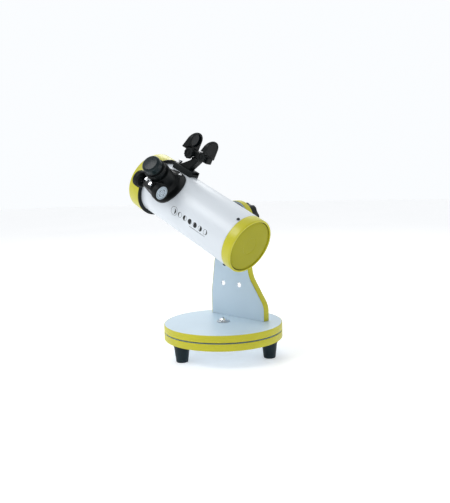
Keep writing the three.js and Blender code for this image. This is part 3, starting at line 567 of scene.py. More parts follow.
def make_materials(tones):
    MATERIALS.update({
        "melamine": melamine_board(tones.melamine),
        "lime_edging": lime_edging(tones.lime),
        "lime_plastic": lime_plastic(tones.lime),
        # The rear cover's finish is the lime in painted shade, a darker copy for the face turned from the light.
        "lime_plastic_painted_shade": lime_plastic(tones.cover, "lime_plastic_painted_shade", 0.2, 0.0),
        "tube_paint": tube_enamel(tones.enamel),
        "black_plastic": black_plastic(tones.black),
        "foot_plastic": black_plastic(tones.foot, "foot_plastic", (0.3, 0.42)),
        "cap_plastic": soft_cap(tones.cap),
        "chrome": plated_metal("chrome", (0.86, 0.88, 0.90), (0.06, 0.16), (1, 1, 1)),
        "steel": plated_metal("steel", (0.62, 0.64, 0.66), (0.22, 0.38), (1, 1, 20)),
        "black_steel": plated_metal("black_steel", (0.035, 0.04, 0.045), (0.3, 0.42), (1, 1, 1)),
        "nylon": nylon(),
        "lens": coated_glass(),
        "mirror": mirror_glass(),
        "film": crinkled_film(),
        "print": screen_print(tones.ink),
        "badge": plated_metal("badge", (0.66, 0.74, 0.80), (0.24, 0.4), (1, 1, 1)),
    })
    for row in frame["record"]["subparts"]:
        NODES[row["node"]].data.materials.clear()
        NODES[row["node"]].data.materials.append(MATERIALS[row["material_slot"]])


def add(name, bm, axes, body, slot, nodes=(), finish=None, crease=32.0):
    """One piece in the finish of a record slot."""
    return place(name, bm, axes, body, MATERIALS[finish or slot], nodes, crease)


# ---- shapes shared by several pieces -----------------------------------------------------

def bezier(a, b, c, d, steps=20):
    """Points of a cubic curve after its first."""
    points = []
    for i in range(1, steps + 1):
        t = i / steps
        weights = ((1 - t) ** 3, 3 * (1 - t) ** 2 * t, 3 * (1 - t) * t * t, t ** 3)
        points.append(tuple(sum(w * p[k] for w, p in zip(weights, (a, b, c, d))) for k in (0, 1)))
    return points


def arc(x, y, radius, start, end, steps=48):
    """Points of an arc after its first, from start to end in degrees."""
    angles = [math.radians(start + (end - start) * i / steps) for i in range(1, steps + 1)]
    return [(x + radius * math.cos(a), y + radius * math.sin(a)) for a in angles]


def toothed(radius, count, depth, per_tooth=6):
    """A round outline with soft teeth."""
    points = []
    total = count * per_tooth
    for i in range(total):
        angle = 2 * math.pi * i / total
        wave = math.cos(count * angle)
        r = radius - depth / 2 + depth / 2 * math.tanh(2 * wave) / math.tanh(2)
        points.append((r * math.cos(angle), r * math.sin(angle)))
    return points


def knurled(radius, z0, z1, count, depth, soft):
    """A grip with teeth round it and rounded ends."""
    return common(prism(toothed(radius, count, depth), z0, z1), rod(radius, z0, z1, 96, soft))


def thumbscrew(shank_r, tip, seat, top, head_r):
    """A plated screw with a knurled head and a turned neck."""
    grip = knurled(head_r, seat + 1.2, top, 26, 0.35, 0.7)
    neck = solid_of([(0, tip), (shank_r - 0.3, tip), (shank_r, tip + 0.5), (shank_r, seat),
                     (head_r * 0.74, seat, 0.2),
                     (head_r * 0.74, seat + 1.3), (0, seat + 1.3)], 48)
    face = solid_of([(0, top - 0.4), (head_r * 0.62, top - 0.4), (head_r * 0.62, top + 0.02, 0.15),
                     (0, top + 0.02)], 48)
    return gather(grip, neck, face)


def cross_screw(shank_r, tip, seat, head_r, rise):
    """A pan-head screw with a cross recess."""
    head = solid_of([(0, tip), (shank_r, tip), (shank_r, seat), (head_r, seat, 0.15),
                     (head_r * 0.93, seat + rise * 0.6, 0.6),
                     (head_r * 0.4, seat + rise), (0, seat + rise)], 48)
    reach = head_r * 0.58
    arms = [block(-reach, reach, -0.35, 0.35, seat + rise * 0.35, seat + rise + 1),
            block(-0.35, 0.35, -reach, reach, seat + rise * 0.35, seat + rise + 1)]
    return cut(head, *arms)


def tube_rod(radius, steps=192):
    """A long rod along X on the tube's axis."""
    return along_x(rod(radius, -200, 200, steps))


# ---- the pieces --------------------------------------------------------------------------

TUBE_SKIN = 50.0          # the tube's outer radius
FIT = 0.3                 # gap between pieces that touch
SADDLE_R = TUBE_SKIN + FIT + 3.0
SCREW_SHANK = 1.6
FLANGE_SCREW_TURN = 33.5  # round the tube from the focuser
CELL_SCREW_TURNS = (59, 179, 299)
BAND_T = 1.2              # edge band on the boards
PIVOT_BORE = 5.35
CAP_R = 17.0
CAP_BORE = 15.55
DOVETAIL_HALF = 7.2


class PieceOperator:
    bl_options = {"REGISTER", "UNDO"}


class TELESCOPE_OT_base(PieceOperator, bpy.types.Operator):
    """Boards, edge bands, feet, glide pads and the centre bolt"""
    bl_idname = "telescope.base"
    bl_label = "Base"

    def execute(self, context):
        sizes = context.scene.reflector_sizes
        for name, body in (("ground", "base"), ("turntable", "turntable")):
            self.board(name, body, sizes.board_round / MM)
        for i in (1, 2, 3):
            self.foot(f"foot_{i}")
            self.glide_pad(f"glide_pad_{i}")
        self.centre_bolt()
        return {"FINISHED"}

    def board(self, name, body, soft):
        low, high = span(f"{name}_edge_band", WORLD)
        inner = high.x - BAND_T
        disc = ring_of([(PIVOT_BORE, low.z), (inner, low.z), (inner, high.z), (PIVOT_BORE, high.z)], 192)
        if name == "turntable":
            disc = cut(disc, *self.bolt_rooms(low.z, high.z))
        add(f"{name}_board_face", disc, WORLD, body, "melamine", (f"{name}_board",))
        band = ring_of([(inner, low.z), (high.x, low.z, soft), (high.x, high.z, soft), (inner, high.z)],
                       192)
        add(f"{name}_board_edging", band, WORLD, body, "lime_edging", (f"{name}_edge_band",))

    def bolt_rooms(self, z0, z1):
        rooms = []
        for i in (1, 2):
            low, high = span(f"arm_bolt_{i}", WORLD)
            x, y = (low.x + high.x) / 2, (low.y + high.y) / 2
            rooms.append(moved(rod(3.35, z0 - 1, z1 + 1, 32), x, y))
            rooms.append(moved(rod(6.2, z0 - 1, z0 + 4.3, 32), x, y))
        return rooms

    def foot(self, node):
        low, high = span(node, WORLD)
        top = (high.x - low.x) / 2
        base = top - 4
        shape = solid_of([(0, 6.5), (3.2, 6.5, 0.3), (3.2, 5), (4.5, 5, 0.3), (4.5, 0, 0.4), (base, 0, 1.2),
                          (top - 0.7, high.z - 3.2, 0.8), (top, high.z - 3.2, 0.5), (top, high.z, 0.5),
                          (0, high.z)], 96)
        middle = (low + high) / 2
        add(f"{node}_moulding", moved(shape, middle.x, middle.y), WORLD, "base", "foot_plastic", (node,))

    def glide_pad(self, node):
        low, high = span(node, WORLD)
        radius = (high.x - low.x) / 2
        middle = (low + high) / 2
        pad = rod(radius, low.z, high.z, 72, 0.4)
        add(f"{node}_disc", moved(pad, middle.x, middle.y), WORLD, "base", "nylon", (node,))

    def centre_bolt(self):
        low, high = span("pivot_bolt", WORLD)
        seat = span("pivot_washer", WORLD)[1].z
        dome = solid_of([(0, low.z), (4.4, low.z), (5, low.z + 0.6), (5, seat), (7, seat, 0.2),
                         (7, seat + 2.2, 1.4),
                         (4.6, high.z - 0.5, 2.0), (0, high.z)], 96)
        socket = moved(prism(arc(0, 0, 2.3, 0, 360, 6), high.z - 2.4, high.z + 1))
        add("centre_bolt", cut(dome, socket), WORLD, BODY_OF["pivot_bolt"], "chrome", ("pivot_bolt",))
        low, high = span("pivot_washer", WORLD)
        washer = ring_of([(PIVOT_BORE, low.z), (12, low.z, 0.3), (12, high.z, 0.4),
                          (PIVOT_BORE, high.z, 0.3)], 96)
        add("centre_washer", washer, WORLD, BODY_OF["pivot_washer"], "steel", ("pivot_washer",))
        low, high = span("pivot_nut", WORLD)
        nut = common(prism(arc(0, 0, 9.5, 0, 360, 6), low.z, high.z), rod(9.3, low.z, high.z, 96, 1.1))
        nut = cut(nut, rod(5.3, low.z - 1, high.z + 1, 64))
        add("centre_nut", nut, WORLD, BODY_OF["pivot_nut"], "steel", ("pivot_nut",))


class TELESCOPE_OT_arm(PieceOperator, bpy.types.Operator):
    """The arm's board, its edge band and the cross dowels and bolts that hold it"""
    bl_idname = "telescope.arm"
    bl_label = "Arm"

    def execute(self, context):
        soft = context.scene.reflector_sizes.arm_round / MM
        low, high = span("arm_edge_band", WORLD)
        band = prism(self.inset(low, high, 0) + self.inset(low, high, BAND_T)[::-1], -high.y, -low.y)
        add("arm_edging", soften(drawn_xz(band), soft, 3), WORLD, "turntable", "lime_edging",
            ("arm_edge_band",))
        board = drawn_xz(prism(self.inset(low, high, 1.22), -high.y + 0.05, -low.y - 0.05))
        axis_x, axis_z = PIVOT.x / MM, PIVOT.z / MM
        holes = [moved(along_y(rod(4.4, low.y - 1, high.y + 1, 64)), axis_x, 0, axis_z)]
        for i in (1, 2):
            middle = sum(span(f"cross_dowel_{i}", WORLD), Vector()) / 2
            holes.append(moved(along_y(rod(5.2, low.y - 1, high.y + 1, 48)), middle.x, 0, middle.z))
            self.dowel(i, middle)
        add("arm_board_face", cut(board, *holes), WORLD, "turntable", "melamine", ("arm_board",))
        return {"FINISHED"}

    def outline(self, low, high):
        """The arm in X and Z, up the left side and down the right."""
        left, right, foot = low.x, high.x, low.z
        x, z = PIVOT.x / MM, PIVOT.z / MM
        r = high.z - z
        shoulder = (left + 8.8, foot + 100.6)
        waist = (right - 38, foot + 105)
        knee = (right - 28.5, foot + 69.4)
        heel = (right - 7.5, foot + 39)
        points = [(left, foot), (left, foot + 43), shoulder]
        points += bezier(shoulder, (left + 13, foot + 128), (x - r, foot + 150), (x - r, z))
        points += arc(x, z, r, 180, 0)
        points += bezier((x + r, z), (x + r, foot + 160), (right - 38, foot + 135), waist)
        points += bezier(waist, (right - 38, foot + 88), (right - 35, foot + 79), knee, 12)
        points += [heel]
        points += bezier(heel, (right - 2.5, foot + 31.5), (right, foot + 27), (right, foot + 17), 12)
        return points + [(right, foot)]

    def inset(self, low, high, distance):
        """The outline moved inwards, its ends kept on the foot."""
        points = [Vector(p) for p in self.outline(low, high)]
        result = []
        for i, here in enumerate(points):
            a = (here - points[max(i - 1, 0)]).normalized()
            b = (points[min(i + 1, len(points) - 1)] - here).normalized()
            along = (a + b).normalized()
            half = max(0.7, along.dot(b if b.length else a))
            result.append((here.x + along.y * distance / half, here.y - along.x * distance / half))
        return result

    def dowel(self, i, middle):
        low, high = span(f"cross_dowel_{i}", WORLD)
        barrel = moved(along_y(rod(5, low.y, high.y, 64, 0.5)), middle.x, 0, middle.z)
        slot = block(middle.x - 6, middle.x + 6, low.y - 1, low.y + 1, middle.z - 0.6, middle.z + 0.6)
        bolt_low, bolt_high = span(f"arm_bolt_{i}", WORLD)
        bore = moved(rod(3.3, low.z - 1, bolt_high.z + 1, 32), middle.x, middle.y)
        add(f"arm_dowel_{i}", cut(barrel, slot, bore), WORLD, "turntable", "chrome", (f"cross_dowel_{i}",))
        shank = solid_of([(0, bolt_low.z + 2), (3, bolt_low.z + 2), (3, bolt_low.z, 0.4),
                          (5.8, bolt_low.z, 0.5),
                          (5.8, bolt_low.z + 3.6, 0.2), (3, bolt_low.z + 3.6), (3, bolt_high.z, 0.5),
                          (0, bolt_high.z)], 48)
        add(f"arm_bolt_{i}_turned", moved(shank, middle.x, middle.y), WORLD, "turntable", "steel",
            (f"arm_bolt_{i}",))


class TELESCOPE_OT_bearing(PieceOperator, bpy.types.Operator):
    """The altitude hub, its washer and the lobed clamp knob"""
    bl_idname = "telescope.bearing"
    bl_label = "Altitude bearing"

    def execute(self, context):
        low, high = span("altitude_hub", BEARING)
        hub = ring_of([(4.4, 20), (high.x, 20), (high.x, high.z, 1.4), (9, high.z, 0.5), (9, high.z - 0.6),
                       (4.4, high.z - 0.6)], 144)
        rib = ring_of([(high.x - 5.5, high.z - 4.4), (high.x, high.z - 4.4, 0.5),
                       (high.x, high.z - 3.2, 0.5),
                       (high.x - 5.5, high.z - 3.2)], 144)
        add("altitude_hub_moulding", gather(cut(hub, tube_rod(50.28)), rib), BEARING, "tube",
            "black_plastic", ("altitude_hub",))
        low, high = span("altitude_washer", BEARING)
        washer = ring_of([(4.4, low.z), (high.x, low.z, 0.3), (high.x, high.z, 0.3), (4.4, high.z)], 144)
        add("altitude_washer_disc", washer, BEARING, BODY_OF["altitude_washer"], SLOT_OF["altitude_washer"],
            ("altitude_washer",))
        self.knob()
        return {"FINISHED"}

    def knob(self):
        low, high = span("altitude_knob", BEARING)
        radius, lobes, dip = 29.0, 8, 1.6
        outline = []
        steps = lobes * 32
        for i in range(steps):
            angle = 2 * math.pi * i / steps
            r = radius - dip + dip * math.tanh(1.8 * math.cos(lobes * (angle - math.radians(15))))
            outline.append((r * math.cos(angle), r * math.sin(angle)))
        base = low.z + 4
        grip = common(prism(outline, base, high.z),
                      solid_of([(0, base), (radius + 1, base, 1.6), (radius + 1, high.z, 4.2), (0, high.z)],
                               192))
        dish = solid_of([(0, high.z - 2.2), (17, high.z - 2.2, 1.2), (20.5, high.z + 1), (0, high.z + 1)],
                        144)
        collar = rod(14, low.z, base + 1, 96, 0.5)
        bore = rod(4.35, low.z - 1, high.z - 5, 48)
        body = cut(join(grip, collar), dish, bore)
        ring = ring_of([(10.5, high.z - 2.4), (12.2, high.z - 2.4), (12.2, high.z - 1.6, 0.3),
                        (10.5, high.z - 1.6, 0.3)], 96)
        add("altitude_knob_moulding", gather(body, ring), BEARING, BODY_OF["altitude_knob"],
            "black_plastic", ("altitude_knob",))


class TELESCOPE_OT_tube(PieceOperator, bpy.types.Operator):
    """The painted tube and the moon phases printed on its side"""
    bl_idname = "telescope.tube"
    bl_label = "Optical tube"

    def execute(self, context):
        sizes = context.scene.reflector_sizes
        low, high = span("optical_tube", TUBE)
        radius = high.x
        wall = 1.2
        shell = ring_of([(radius - wall, low.z, 0.4), (radius, low.z, 0.5), (radius, high.z, 0.5),
                         (radius - wall, high.z, 0.4)], 256)
        way = turned(rod(20, 30, 70, 96),
                     TUBE.matrix().inverted() @ FOCUSER.matrix() @ Matrix.Translation((FOCUS_S, 0, 0)))
        add("optical_tube_shell", cut(shell, way), TUBE, "tube", "tube_paint", ("optical_tube",))
        self.marks(radius, sizes.print_rise / MM, sizes.phases)
        return {"FINISHED"}

    def marks(self, radius, rise, phases):
        """A ringed crescent, a row of moon phases and a fine dotted line under it."""
        shapes = self.moon(50, 0, 8.2, 1.0, 1, 0.55) + self.moon(50, 0, 5.2, 0.35, -1, 0)
        half = (phases - 1) / 2
        for i in range(phases):
            turn = (i - half) / half
            edge = 1.5 * abs(turn) - 1
            shapes += self.moon(34 - 68 * i / (phases - 1), 0, 4.9, edge, 1 if turn <= 0 else -1, 0.5)
        for i in range(16):
            shapes += self.moon(4 - 38 * i / 15, -8.2, 0.8, -1.0, 1, 0)
        parts = [self.wrapped(rows, radius, rise) for rows in shapes]
        add("tube_moon_print", gather(*parts), TUBE, "tube", "tube_paint", (), "print")

    def moon(self, s, t, radius, edge, side, line=0.35, rows=24):
        """Rows (t, s from, s to) of the lit part of a disc and of the thin line round it."""
        lit, left, right = [], [], []
        for i in range(rows + 1):
            y = -radius * math.cos(math.pi * i / rows)
            chord = math.sqrt(max(0.0, radius ** 2 - y ** 2))
            inner = math.sqrt(max(0.0, (radius - line) ** 2 - y ** 2)) if abs(y) < radius - line else 0.0
            ends = sorted((s + side * chord * edge, s + side * chord))
            lit.append((t + y, *ends))
            left.append((t + y, s - chord, s - inner))
            right.append((t + y, s + inner, s + chord))
        shapes = [lit] if edge < 0.99 else []
        return shapes + ([left, right] if line else [])

    def wrapped(self, rows, radius, rise):
        """A closed thin patch on the tube. Rows run round it and each spans a stretch of its length."""
        bm = new_mesh()
        layers = []
        for r in (radius + rise, radius - 0.05):
            corners = []
            for t, s0, s1 in rows:
                angle = t / radius
                for s in (s0, s1):
                    corners.append(bm.verts.new((r * math.cos(angle), r * math.sin(angle), s)))
            layers.append(corners)
        outer, inner = layers
        count = len(rows)
        for i in range(count - 1):
            a, b, c, d = 2 * i, 2 * i + 1, 2 * i + 3, 2 * i + 2
            bm.faces.new((outer[a], outer[b], outer[c], outer[d]))
            bm.faces.new((inner[d], inner[c], inner[b], inner[a]))
            bm.faces.new((outer[a], outer[d], inner[d], inner[a]))
            bm.faces.new((outer[c], outer[b], inner[b], inner[c]))
        last = 2 * (count - 1)
        bm.faces.new((outer[1], outer[0], inner[0], inner[1]))
        bm.faces.new((outer[last], outer[last + 1], inner[last + 1], inner[last]))
        return bm


class TELESCOPE_OT_front(PieceOperator, bpy.types.Operator):
    """The ring on the tube's mouth and the pull-off cell with its silvered film"""
    bl_idname = "telescope.front_cell"
    bl_label = "Front cell"

    def execute(self, context):
        low, high = span("front_ring", TUBE)
        bore = 50.35
        flange = low.z + 2
        collar = high.x - 2.35
        ring = ring_of([(bore, low.z), (high.x, low.z, 0.7), (high.x, flange, 0.3), (collar, flange, 0.2),
                        (collar, high.z, 0.5), (bore, high.z)], 256)
        add("front_ring_moulding", ring, TUBE, "tube", "black_plastic", ("front_ring",))
        low, high = span("filter_cell", TUBE)
        lip = high.z - 3.5
        cell = ring_of([(high.x - 2, low.z, 0.3), (high.x, low.z, 0.6), (high.x, high.z, 2.6),
                        (48.5, high.z, 0.8), (47.5, high.z - 0.9, 0.8),
                        (43, high.z - 0.9, 0.8), (42, lip, 0.3), (high.x - 2, lip, 0.4)], 256)
        add("filter_cell_moulding", cell, TUBE, BODY_OF["filter_cell"], "lime_plastic", ("filter_cell",))
        self.film()
        low, high = span("film_retainer", TUBE)
        retainer = ring_of([(44, low.z, 0.5), (high.x, low.z, 0.3), (high.x, high.z), (44, high.z, 0.3)],
                           192)
        add("film_retainer_ring", retainer, TUBE, BODY_OF["film_retainer"], "black_plastic",
            ("film_retainer",))
        return {"FINISHED"}

    def film(self):
        """A thin disc with shallow folds in it."""
        low, high = span("solar_film", TUBE)
        bm = new_mesh()
        rings, steps = 26, 120
        radius = high.x
        for z, sign in ((low.z + 0.25, 1), (high.z - 0.25, 1)):
            rows = [[bm.verts.new((0, 0, z))]]
            for i in range(1, rings + 1):
                r = radius * i / rings
                row = []
                for k in range(steps):
                    a = 2 * math.pi * k / steps
                    fold = 0.16 * math.sin(3 * a + r * 0.13) * math.sin(r * 0.11)
                    fold += 0.06 * math.sin(7 * a - r * 0.3)
                    calm = min(1.0, (rings - i) / 6)
                    row.append(bm.verts.new((r * math.cos(a), r * math.sin(a), z + fold * calm * sign)))
                rows.append(row)
            for a, b in zip(rows, rows[1:]):
                for k in range(steps):
                    j = (k + 1) % steps
                    corners = [a[k % len(a)], a[j % len(a)], b[j], b[k]]
                    bm.faces.new(list(dict.fromkeys(corners)))
        bmesh.ops.bridge_loops(bm, edges=[e for e in bm.edges if len(e.link_faces) == 1])
        add("solar_film_sheet", bm, TUBE, BODY_OF["solar_film"], "film", ("solar_film",))


class TELESCOPE_OT_rear(PieceOperator, bpy.types.Operator):
    """The rear ring, its cover and the three screws of the mirror cell"""
    bl_idname = "telescope.rear_end"
    bl_label = "Rear end"

    def execute(self, context):
        low, high = span("rear_ring", TUBE)
        end, r = low.z, high.x
        seat = end + 5.3
        rear = ring_of([(46.5, end + 0.5, 0.3), (r, end, 2.4), (r, end + 19.2, 0.4), (48.45, end + 19.2),
                        (48.45, high.z, 0.4),
                        (44.5, high.z, 0.4), (44.5, seat), (46.5, seat)], 256)
        add("rear_ring_moulding", rear, TUBE, "tube", "lime_plastic", ("rear_ring",))
        # A black ring sunk in the gap between the rear ring and the cover: painted shade for the shadow in that
        # groove.
        painted_groove_shade = ring_of([(45.25, end + 3.2, 0.4), (46.45, end + 3.2, 0.4), (46.45, seat - 0.05),
                          (45.25, seat - 0.05)], 192)
        add("rear_cover_gasket", painted_groove_shade, TUBE, "tube", "black_plastic")
        low, high = span("rear_cover", TUBE)
        cover = solid_of([(0, low.z + 0.35), (15, low.z + 0.35), (15.5, low.z, 0.3), (42, low.z, 0.2),
                          (42.4, low.z + 0.4, 0.2), (43, low.z + 0.4, 0.2),
                          (43.4, low.z, 0.2), (high.x, low.z, 0.9), (high.x, high.z, 0.3), (0, high.z)],
                         256)
        # The cover gets the darker lime copy, painted shade for its face turned away from the light.
        add("rear_cover_moulding", cover, TUBE, "tube", "lime_plastic", ("rear_cover",), "lime_plastic_painted_shade")
        for i, degrees in enumerate(CELL_SCREW_TURNS, 1):
            out = TUBE.x * math.cos(math.radians(degrees)) + TUBE.y * math.sin(math.radians(degrees))
            axes = radial(out)
            low, high = span(f"rear_screw_{i}", axes)
            seat = TUBE_SKIN + FIT
            screw = moved(cross_screw(SCREW_SHANK, low.z, seat, (high.x - low.x) / 2, high.z - seat),
                          (low.x + high.x) / 2)
            add(f"rear_screw_{i}_head", screw, axes, "tube", "black_steel", (f"rear_screw_{i}",))
        return {"FINISHED"}


class TELESCOPE_OT_focuser(PieceOperator, bpy.types.Operator):
    """The rack-and-pinion focuser with its knobs and thumbscrews"""
    bl_idname = "telescope.focuser"
    bl_label = "Focuser"

    def execute(self, context):
        sizes = context.scene.reflector_sizes
        self.housing(sizes.mould_round / MM)
        self.drawtube()
        self.knobs(sizes.knob_flutes)
        self.screws()
        return {"FINISHED"}

    def housing(self, voxel):
        low, high = span("focuser_body", FOCUSER)
        top = high.z
        saddle = prism(arc(0, 0, 1, 0, 360, 160), 20, 70)
        saddle = turned(saddle, Matrix.Diagonal(((high.x - low.x) / 2, 34.5, 1, 1)))
        saddle = common(moved(saddle, FOCUS_S), tube_rod(SADDLE_R))
        foot = solid_of([(0, 40), (26, 40), (26, 54), (22, 60, 4), (22, top - 3.2, 0.5),
                         (21.4, top - 2.6, 0.4), (22, top - 2, 0.4), (22, top, 0.9), (0, top)], 128)
        gear_case = soften(block(-12, 12, 10, 33, 50, top - 1.5), 2.0, 3)
        shaft_z = centre_of("pinion_shaft", FOCUSER).z
        shaft_y = centre_of("pinion_shaft", FOCUSER).y
        bosses = moved(along_x(rod(6.2, -13.6, 13.6, 64, 0.6)), 0, shaft_y, shaft_z)
        body = join(saddle, moved(foot, FOCUS_S), moved(gear_case, FOCUS_S), moved(bosses, FOCUS_S))
        body = moulded(body, voxel, 5)
        bore = moved(rod(17.95, 30, 100, 128), FOCUS_S)
        slot = block(FOCUS_S - 4.5, FOCUS_S + 4.5, 10, 21.4, 30, 100)
        hollow = cut(body, tube_rod(TUBE_SKIN + FIT), bore, slot,
                     moved(along_x(rod(6.4, -5, 5, 48)), FOCUS_S, shaft_y, shaft_z),
                     moved(along_x(rod(2.75, -20, 20, 48)), FOCUS_S, shaft_y, shaft_z))
        add("focuser_housing", hollow, FOCUSER, "tube", "black_plastic", ("focuser_body",), None, 40)

    def drawtube(self):
        low, high = span("drawtube", FOCUSER)
        top = high.z
        tube = ring_of([(16.15, low.z), (17.6, low.z, 0.2), (17.6, top - 7.5, 0.1), (19.5, top - 7.5, 0.5),
                        (19.5, top - 4.9, 0.2),
                        (19.1, top - 4.6), (19.1, top - 4.2), (19.5, top - 3.9, 0.2), (19.5, top, 0.9),
                        (16.15, top, 0.3)], 144)
        add("drawtube_barrel", moved(tube, FOCUS_S), FOCUSER, BODY_OF["drawtube"], "black_plastic",
            ("drawtube",))

    def knobs(self, flutes):
        middle = centre_of("pinion_shaft", FOCUSER)
        for node, sign in (("focus_knob_front", 1), ("focus_knob_rear", -1)):
            low, high = span(node, FOCUSER)
            reach = (high.x - FOCUS_S) if sign > 0 else (FOCUS_S - low.x)
            back = reach - (high.x - low.x)
            grip = knurled(15.5, back + 2.4, reach - 1.1, flutes, 0.7, 0.5)
            core = solid_of([(2.75, back), (12, back, 0.6), (14.6, back + 2.5, 0.8), (14.6, reach, 0.9),
                             (12.6, reach, 0.5),
                             (12.6, reach - 1.2), (2.75, reach - 1.2)], 128)
            flip = Matrix.Identity(4) if sign > 0 else Matrix.Rotation(math.pi, 4, "Y")
            spot = (FOCUS_S, middle.y, middle.z)
            knob = moved(turned(along_x(gather(grip, core)), flip), *spot)
            add(f"{node}_grip", knob, FOCUSER, "pinion", "black_plastic", (node,))
            badge = solid_of([(0, reach - 1.2), (12.3, reach - 1.2), (12.3, reach - 0.45, 0.3),
                              (9.6, reach - 0.45, 0.1), (9.3, reach - 0.7, 0.1),
                              (8.9, reach - 0.7, 0.1), (8.6, reach - 0.45, 0.1), (0, reach - 0.45)], 128)
            badge = moved(turned(along_x(badge), flip), *spot)
            add(f"{node}_badge", badge, FOCUSER, "pinion", "chrome", (), "badge")
            marks = moved(turned(along_x(self.badge_marks(reach - 0.47)), flip), *spot)
            add(f"{node}_marks", marks, FOCUSER, "pinion", "black_plastic", (), "print")

    def badge_marks(self, face):
        """Twelve dots between two thin rings."""
        parts = [ring_of([(r, face), (r + 0.45, face), (r + 0.45, face + 0.08), (r, face + 0.08)], 96)
                 for r in (2.6, 9.9)]
        for i in range(12):
            angle = math.pi * i / 6
            size = 1.25 if i % 3 == 0 else 0.8
            parts.append(moved(rod(size, face, face + 0.08, 24), 6.3 * math.cos(angle),
                               6.3 * math.sin(angle)))
        return gather(*parts)

    def screws(self):
        low, high = span("focus_lock_screw", FOCUSER)
        spot = (low + high) / 2
        lock = thumbscrew(1.8, low.z, high.z - 6.6, high.z, (high.x - low.x) / 2)
        add("focus_lock_thumbscrew", moved(lock, spot.x, spot.y), FOCUSER, BODY_OF["focus_lock_screw"],
            "chrome", ("focus_lock_screw",))
        low, high = span("eyepiece_set_screw", FOCUSER)
        spot = (low + high) / 2
        clamp = moved(along_y(thumbscrew(1.6, low.y, high.y - 5.3, high.y, (high.x - low.x) / 2)), spot.x,
                      0, spot.z)
        add("eyepiece_thumbscrew", clamp, FOCUSER, BODY_OF["eyepiece_set_screw"], "chrome",
            ("eyepiece_set_screw",))
        for i, offset in enumerate((FLANGE_SCREW_TURN, -FLANGE_SCREW_TURN), 1):
            out = FOCUSER.y * -math.sin(math.radians(offset)) + FOCUSER.z * math.cos(math.radians(offset))
            axes = radial(out)
            low, high = span(f"flange_screw_{i}", axes)
            seat = SADDLE_R + FIT
            screw = cross_screw(SCREW_SHANK, low.z, seat, (high.x - low.x) / 2, high.z - seat)
            add(f"flange_screw_{i}_head", moved(screw, (low.x + high.x) / 2), axes, "tube", "chrome",
                (f"flange_screw_{i}",))


class TELESCOPE_OT_eyepiece(PieceOperator, bpy.types.Operator):
    """The eyepiece in the drawtube and its soft dust cap"""
    bl_idname = "telescope.eyepiece"
    bl_label = "Eyepiece"

    def execute(self, context):
        low, high = span("eyepiece_barrel", FOCUSER)
        barrel = ring_of([(14.2, low.z, 0.3), (15.8, low.z, 0.4), (15.8, high.z - 1.6),
                          (14.2, high.z - 1.6)], 144)
        flange = ring_of([(14.2, high.z - 1.6), (17, high.z - 1.6, 0.4), (17, high.z, 0.4), (14.2, high.z)],
                         144)
        add("eyepiece_flange", moved(flange, FOCUS_S), FOCUSER, BODY_OF["eyepiece_barrel"], "black_plastic")
        add("eyepiece_barrel_plated", moved(barrel, FOCUS_S), FOCUSER, BODY_OF["eyepiece_barrel"], "chrome",
            ("eyepiece_barrel",))
        low, high = span("eyepiece_body", FOCUSER)
        body = ring_of([(10, low.z), (15.2, low.z), (15.2, low.z + 3), (14.8, low.z + 3.3),
                        (14.8, low.z + 3.9), (15.2, low.z + 4.2), (15.2, high.z, 1),
                        (10, high.z, 2)], 144)
        add("eyepiece_body_turned", moved(body, FOCUS_S), FOCUSER, BODY_OF["eyepiece_body"],
            "black_plastic", ("eyepiece_body",))
        low, high = span("eyepiece_cap", FOCUSER)
        top = high.z
        cap = ring_cap(low.z, top)
        add("eyepiece_cap_moulding", moved(cap, FOCUS_S), FOCUSER, BODY_OF["eyepiece_cap"], "cap_plastic",
            ("eyepiece_cap",))
        low, high = span("eye_lens", FOCUSER)
        lens = solid_of([(0, low.z), (high.x - FOCUS_S, low.z + 1, 0.2),
                         (high.x - FOCUS_S, high.z - 1.2, 0.2)]
                        + bowl(high.x - FOCUS_S, high.z - 1.2, high.z), 96)
        add("eye_lens_ground", moved(lens, FOCUS_S), FOCUSER, BODY_OF["eye_lens"], "lens", ("eye_lens",))
        return {"FINISHED"}


def bowl(radius, rim, top, steps=10):
    """A low dome from its rim to its top on the axis."""
    rise = top - rim
    return [(radius * math.cos(math.pi / 2 * i / steps), rim + rise * math.sin(math.pi / 2 * i / steps))
            for i in range(1, steps)] + [(0, top)]


def ring_cap(low, top):
    """A soft cap with a rolled lip and a slightly crowned top."""
    skirt = [(CAP_BORE, low), (CAP_R, low, 0.5), (CAP_R, low + 1.6, 0.3), (CAP_R - 0.3, low + 2.0, 0.3),
             (CAP_R, top - 5.2)]
    shoulder = [(CAP_R - 5.0 * (1 - math.cos(math.pi / 2 * i / 12)),
                 top - 5.2 + 4.4 * math.sin(math.pi / 2 * i / 12)) for i in range(1, 13)]
    crown = [(8, top - 0.2), (0, top), (0, top - 4.5), (CAP_BORE, top - 4.5), (CAP_BORE, low)]
    return lathe(rounded(skirt) + shoulder + crown, 144)


